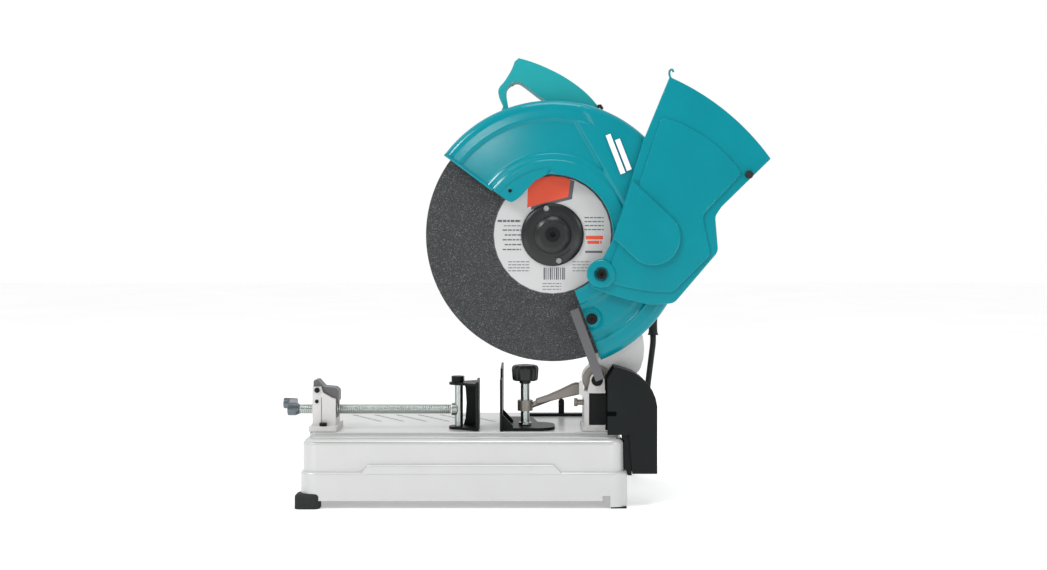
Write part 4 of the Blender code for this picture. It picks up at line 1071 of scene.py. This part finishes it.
def make_motor():
    """The motor's barrel with its ribs, the vented cap, a blank nameplate and small fittings."""
    refined("motor_housing", 1.6, 3)
    cap = refined("motor_end_cap", 1.2, 3)
    slots = []
    low, high = box_mm("motor_end_cap")
    for i in range(VENT_COUNT):
        a = 2 * math.pi * i / VENT_COUNT
        x, z = MOTOR.x + VENT_CIRCLE_R * math.cos(a), MOTOR.z + VENT_CIRCLE_R * math.sin(a)
        form = block_form((-5, 0, -1.7), (7, 40, 1.7))
        turn = Matrix.Translation(mm(x, low.y + 22, z)) @ Matrix.Rotation(-a, 4, "Y")
        bmesh.ops.transform(form, matrix=turn, verts=form.verts)
        slots.append(form)
    carve(cap, slots)
    low, high = box_mm("motor_housing")
    profile = [(57.8, 0), (58.0, 0.4), (58.0, 2.4), (57.8, 2.8)]
    for i in range(RIB_COUNT):
        y = low.y + 14 + i * RIB_SPACING
        form = turned_form(profile, (0, 1, 0), (MOTOR.x, y, MOTOR.z), 64)
        piece(f"housing_rib_{i}", mesh_of(form, "housing_rib"), "head", "teal_plastic")
    plate = rounded([(-24, -13), (24, -13), (24, 13), (-24, 13)], [3] * 4, 6)
    form = plate_form([plate], -0.5, 0.5, width=0.2)
    place = Matrix.Translation(mm(MOTOR.x, (low.y + high.y) / 2 + 6, MOTOR.z + 58.2))
    bmesh.ops.transform(form, matrix=place @ Matrix.Rotation(math.pi / 2, 4, "X"), verts=form.verts)
    piece("blank_nameplate", mesh_of(form, "blank_nameplate"), "head", "teal_plastic", "label_paper")
    refined("brush_cap_near", 0.6, 3)
    refined("brush_cap_far", 0.6, 3)
    refined("cord_guard", 0.4, 2)


def make_handle():
    """The D grip as one smooth form, split into its two halves."""
    back = [(-3.7, 627.9), (13.8, 622.8), (34.3, 614.7), (57.6, 603.1), (79.6, 588.5), (95.8, 574.6),
            (107.4, 561.4)]
    stem = rounded(
        [(107.4, 561.4), (132, 520), (140, 470), (88, 416), *arc((WHEEL.x, WHEEL.z), 60, 42, 150, 16),
         (-8, 406), (-52, 470), (-42, 520), (-25.7, 560.0)],
        [0, 30, 24] + [0] * 19 + [24, 40, 0], 8
    )
    front = [(-25.7, 560.0), (-33.0, 581.2), (-22.8, 596.5), (-14.1, 611.1), (-9.6, 622.8)]
    opening = [(-5.2, 594.9), (2.1, 591.4), (14, 582.5), (28.4, 571.6), (60, 552), (84, 528),
               (86, 505), (70, 488), (20, 486), (-4, 500), (-12, 530), (-18, 555), (-21.4, 581.9),
               (-14.1, 592.1)]
    outline = smooth_line(back, 5)[:-1] + stem[:-1] + smooth_line(front, 5)
    near, far = box_mm("handle_half_near"), box_mm("handle_half_far")
    outlines = [outline, smooth_line(opening, 5, closed=True)]
    for side, low, high in (("near", near[0].y, near[1].y), ("far", far[0].y, far[1].y)):
        form = plate_form(outlines, low, high)
        face = low if side == "near" else high
        edges = [e for e in form.edges if all(abs(v.co.y - face * MM) < 1e-6 for v in e.verts)]
        bmesh.ops.bevel(
            form, geom=edges, offset=5.0 * MM, segments=5, profile=0.5, affect="EDGES",
            clamp_overlap=True
        )
        made = piece("grip_" + side, mesh_of(form, "grip"), "head", "teal_plastic", sharp=40)
        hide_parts("handle_half_" + side)
    for name in ("trigger", "power_switch", "lock_button"):
        refined(name, 0.8, 3)
    for i, (x, z) in enumerate(((-14, 596), (98, 556), (124, 508), (-36, 500), (8, 452), (92, 452))):
        head = [(0, 0.6), (1.6, 1.4), (3.6, 1.2), (4.0, 0.4), (4.0, -1.5), (0, -1.5)]
        form = turned_form(head, (0, 1, 0), (x, far[1].y - 1.0, z), 24)
        piece(f"grip_screw_{i}", mesh_of(form, "grip_screw"), "head", "black_paint")


# ---------------------------------------------------------------- studio


# Name, place in metres, size in metres and power in watts
LAMPS = (
    ("key", (-1.5, -1.3, 1.9), 0.5, 26.0),
    ("fill", (1.9, -1.8, 1.2), 0.25, 8.0),
    ("top", (0.1, -0.5, 2.1), 0.8, 12.0),
    ("gleam", (-0.12, -2.1, 0.69), 0.14, 0.9),
    ("edge", (0.8, -2.0, 0.15), 0.12, 1.6),
    ("low_edge", (-1.0, -1.7, 0.10), 0.12, 1.2),
)


def make_studio():
    """A pale floor, a surround that is white behind the object and grey in front, and lamps."""
    scene = bpy.context.scene
    world = bpy.data.worlds.new("studio")
    scene.world = world
    world.use_nodes = True
    tree = world.node_tree
    coords = tree.nodes.new("ShaderNodeTexCoord")
    parts = tree.nodes.new("ShaderNodeSeparateXYZ")
    tree.links.new(coords.outputs["Generated"], parts.inputs["Vector"])
    depth = tree.nodes.new("ShaderNodeMapRange")
    depth.inputs["From Min"].default_value = -0.6
    depth.inputs["From Max"].default_value = 0.5
    depth.inputs["To Min"].default_value = 0.0
    depth.inputs["To Max"].default_value = 1.0
    tree.links.new(parts.outputs["Y"], depth.inputs["Value"])
    sky = ramp(tree, depth.outputs["Result"], [(0.0, (0.38, 0.38, 0.38)), (1.0, (1.0, 1.0, 1.0))])
    tree.links.new(sky, tree.nodes["Background"].inputs["Color"])
    form = bmesh.new()
    bmesh.ops.create_grid(form, x_segments=1, y_segments=1, size=12.0)
    floor = bpy.data.objects.new("floor", mesh_of(form, "floor"))
    floor.location = (0, 0, FLOOR_Z)
    floor.data.materials.append(floor_material())
    scene.collection.objects.link(floor)
    for name, place, size, power in LAMPS:
        light = bpy.data.lights.new(name, "AREA")
        light.energy = power
        light.size = size
        lamp = bpy.data.objects.new(name, light)
        lamp.location = place
        aim = Vector((0.02, -0.05, 0.3)) - Vector(place)
        lamp.rotation_euler = aim.to_track_quat("-Z", "Y").to_euler()
        scene.collection.objects.link(lamp)
    scene.view_settings.view_transform = "Standard"
    scene.view_settings.look = "None"


def floor_material():
    """A nearly white floor that glows a little, so that it stays even."""
    made, tree, shader = shader_of("studio_floor")
    cloud = texture(tree, "ShaderNodeTexNoise", 1.5, 2.0)
    stops = [(0.3, (0.92, 0.92, 0.92)), (0.7, (0.96, 0.96, 0.96))]
    tree.links.new(ramp(tree, cloud.outputs["Fac"], stops), shader.inputs["Base Color"])
    shader.inputs["Roughness"].default_value = 0.9
    shader.inputs["Specular IOR Level"].default_value = 0.1
    shader.inputs["Emission Color"].default_value = (1.0, 1.0, 1.0, 1.0)
    shader.inputs["Emission Strength"].default_value = 0.3
    return made


def main():
    make_camera()
    dress_nodes()
    make_cord()
    make_wheel()
    make_flanges()
    make_guard()
    make_guard_fittings()
    make_cover()
    make_base()
    make_feet()
    make_vise()
    make_fence()
    make_castings()
    make_motor()
    make_handle()
    settle_normals()
    make_studio()


main()
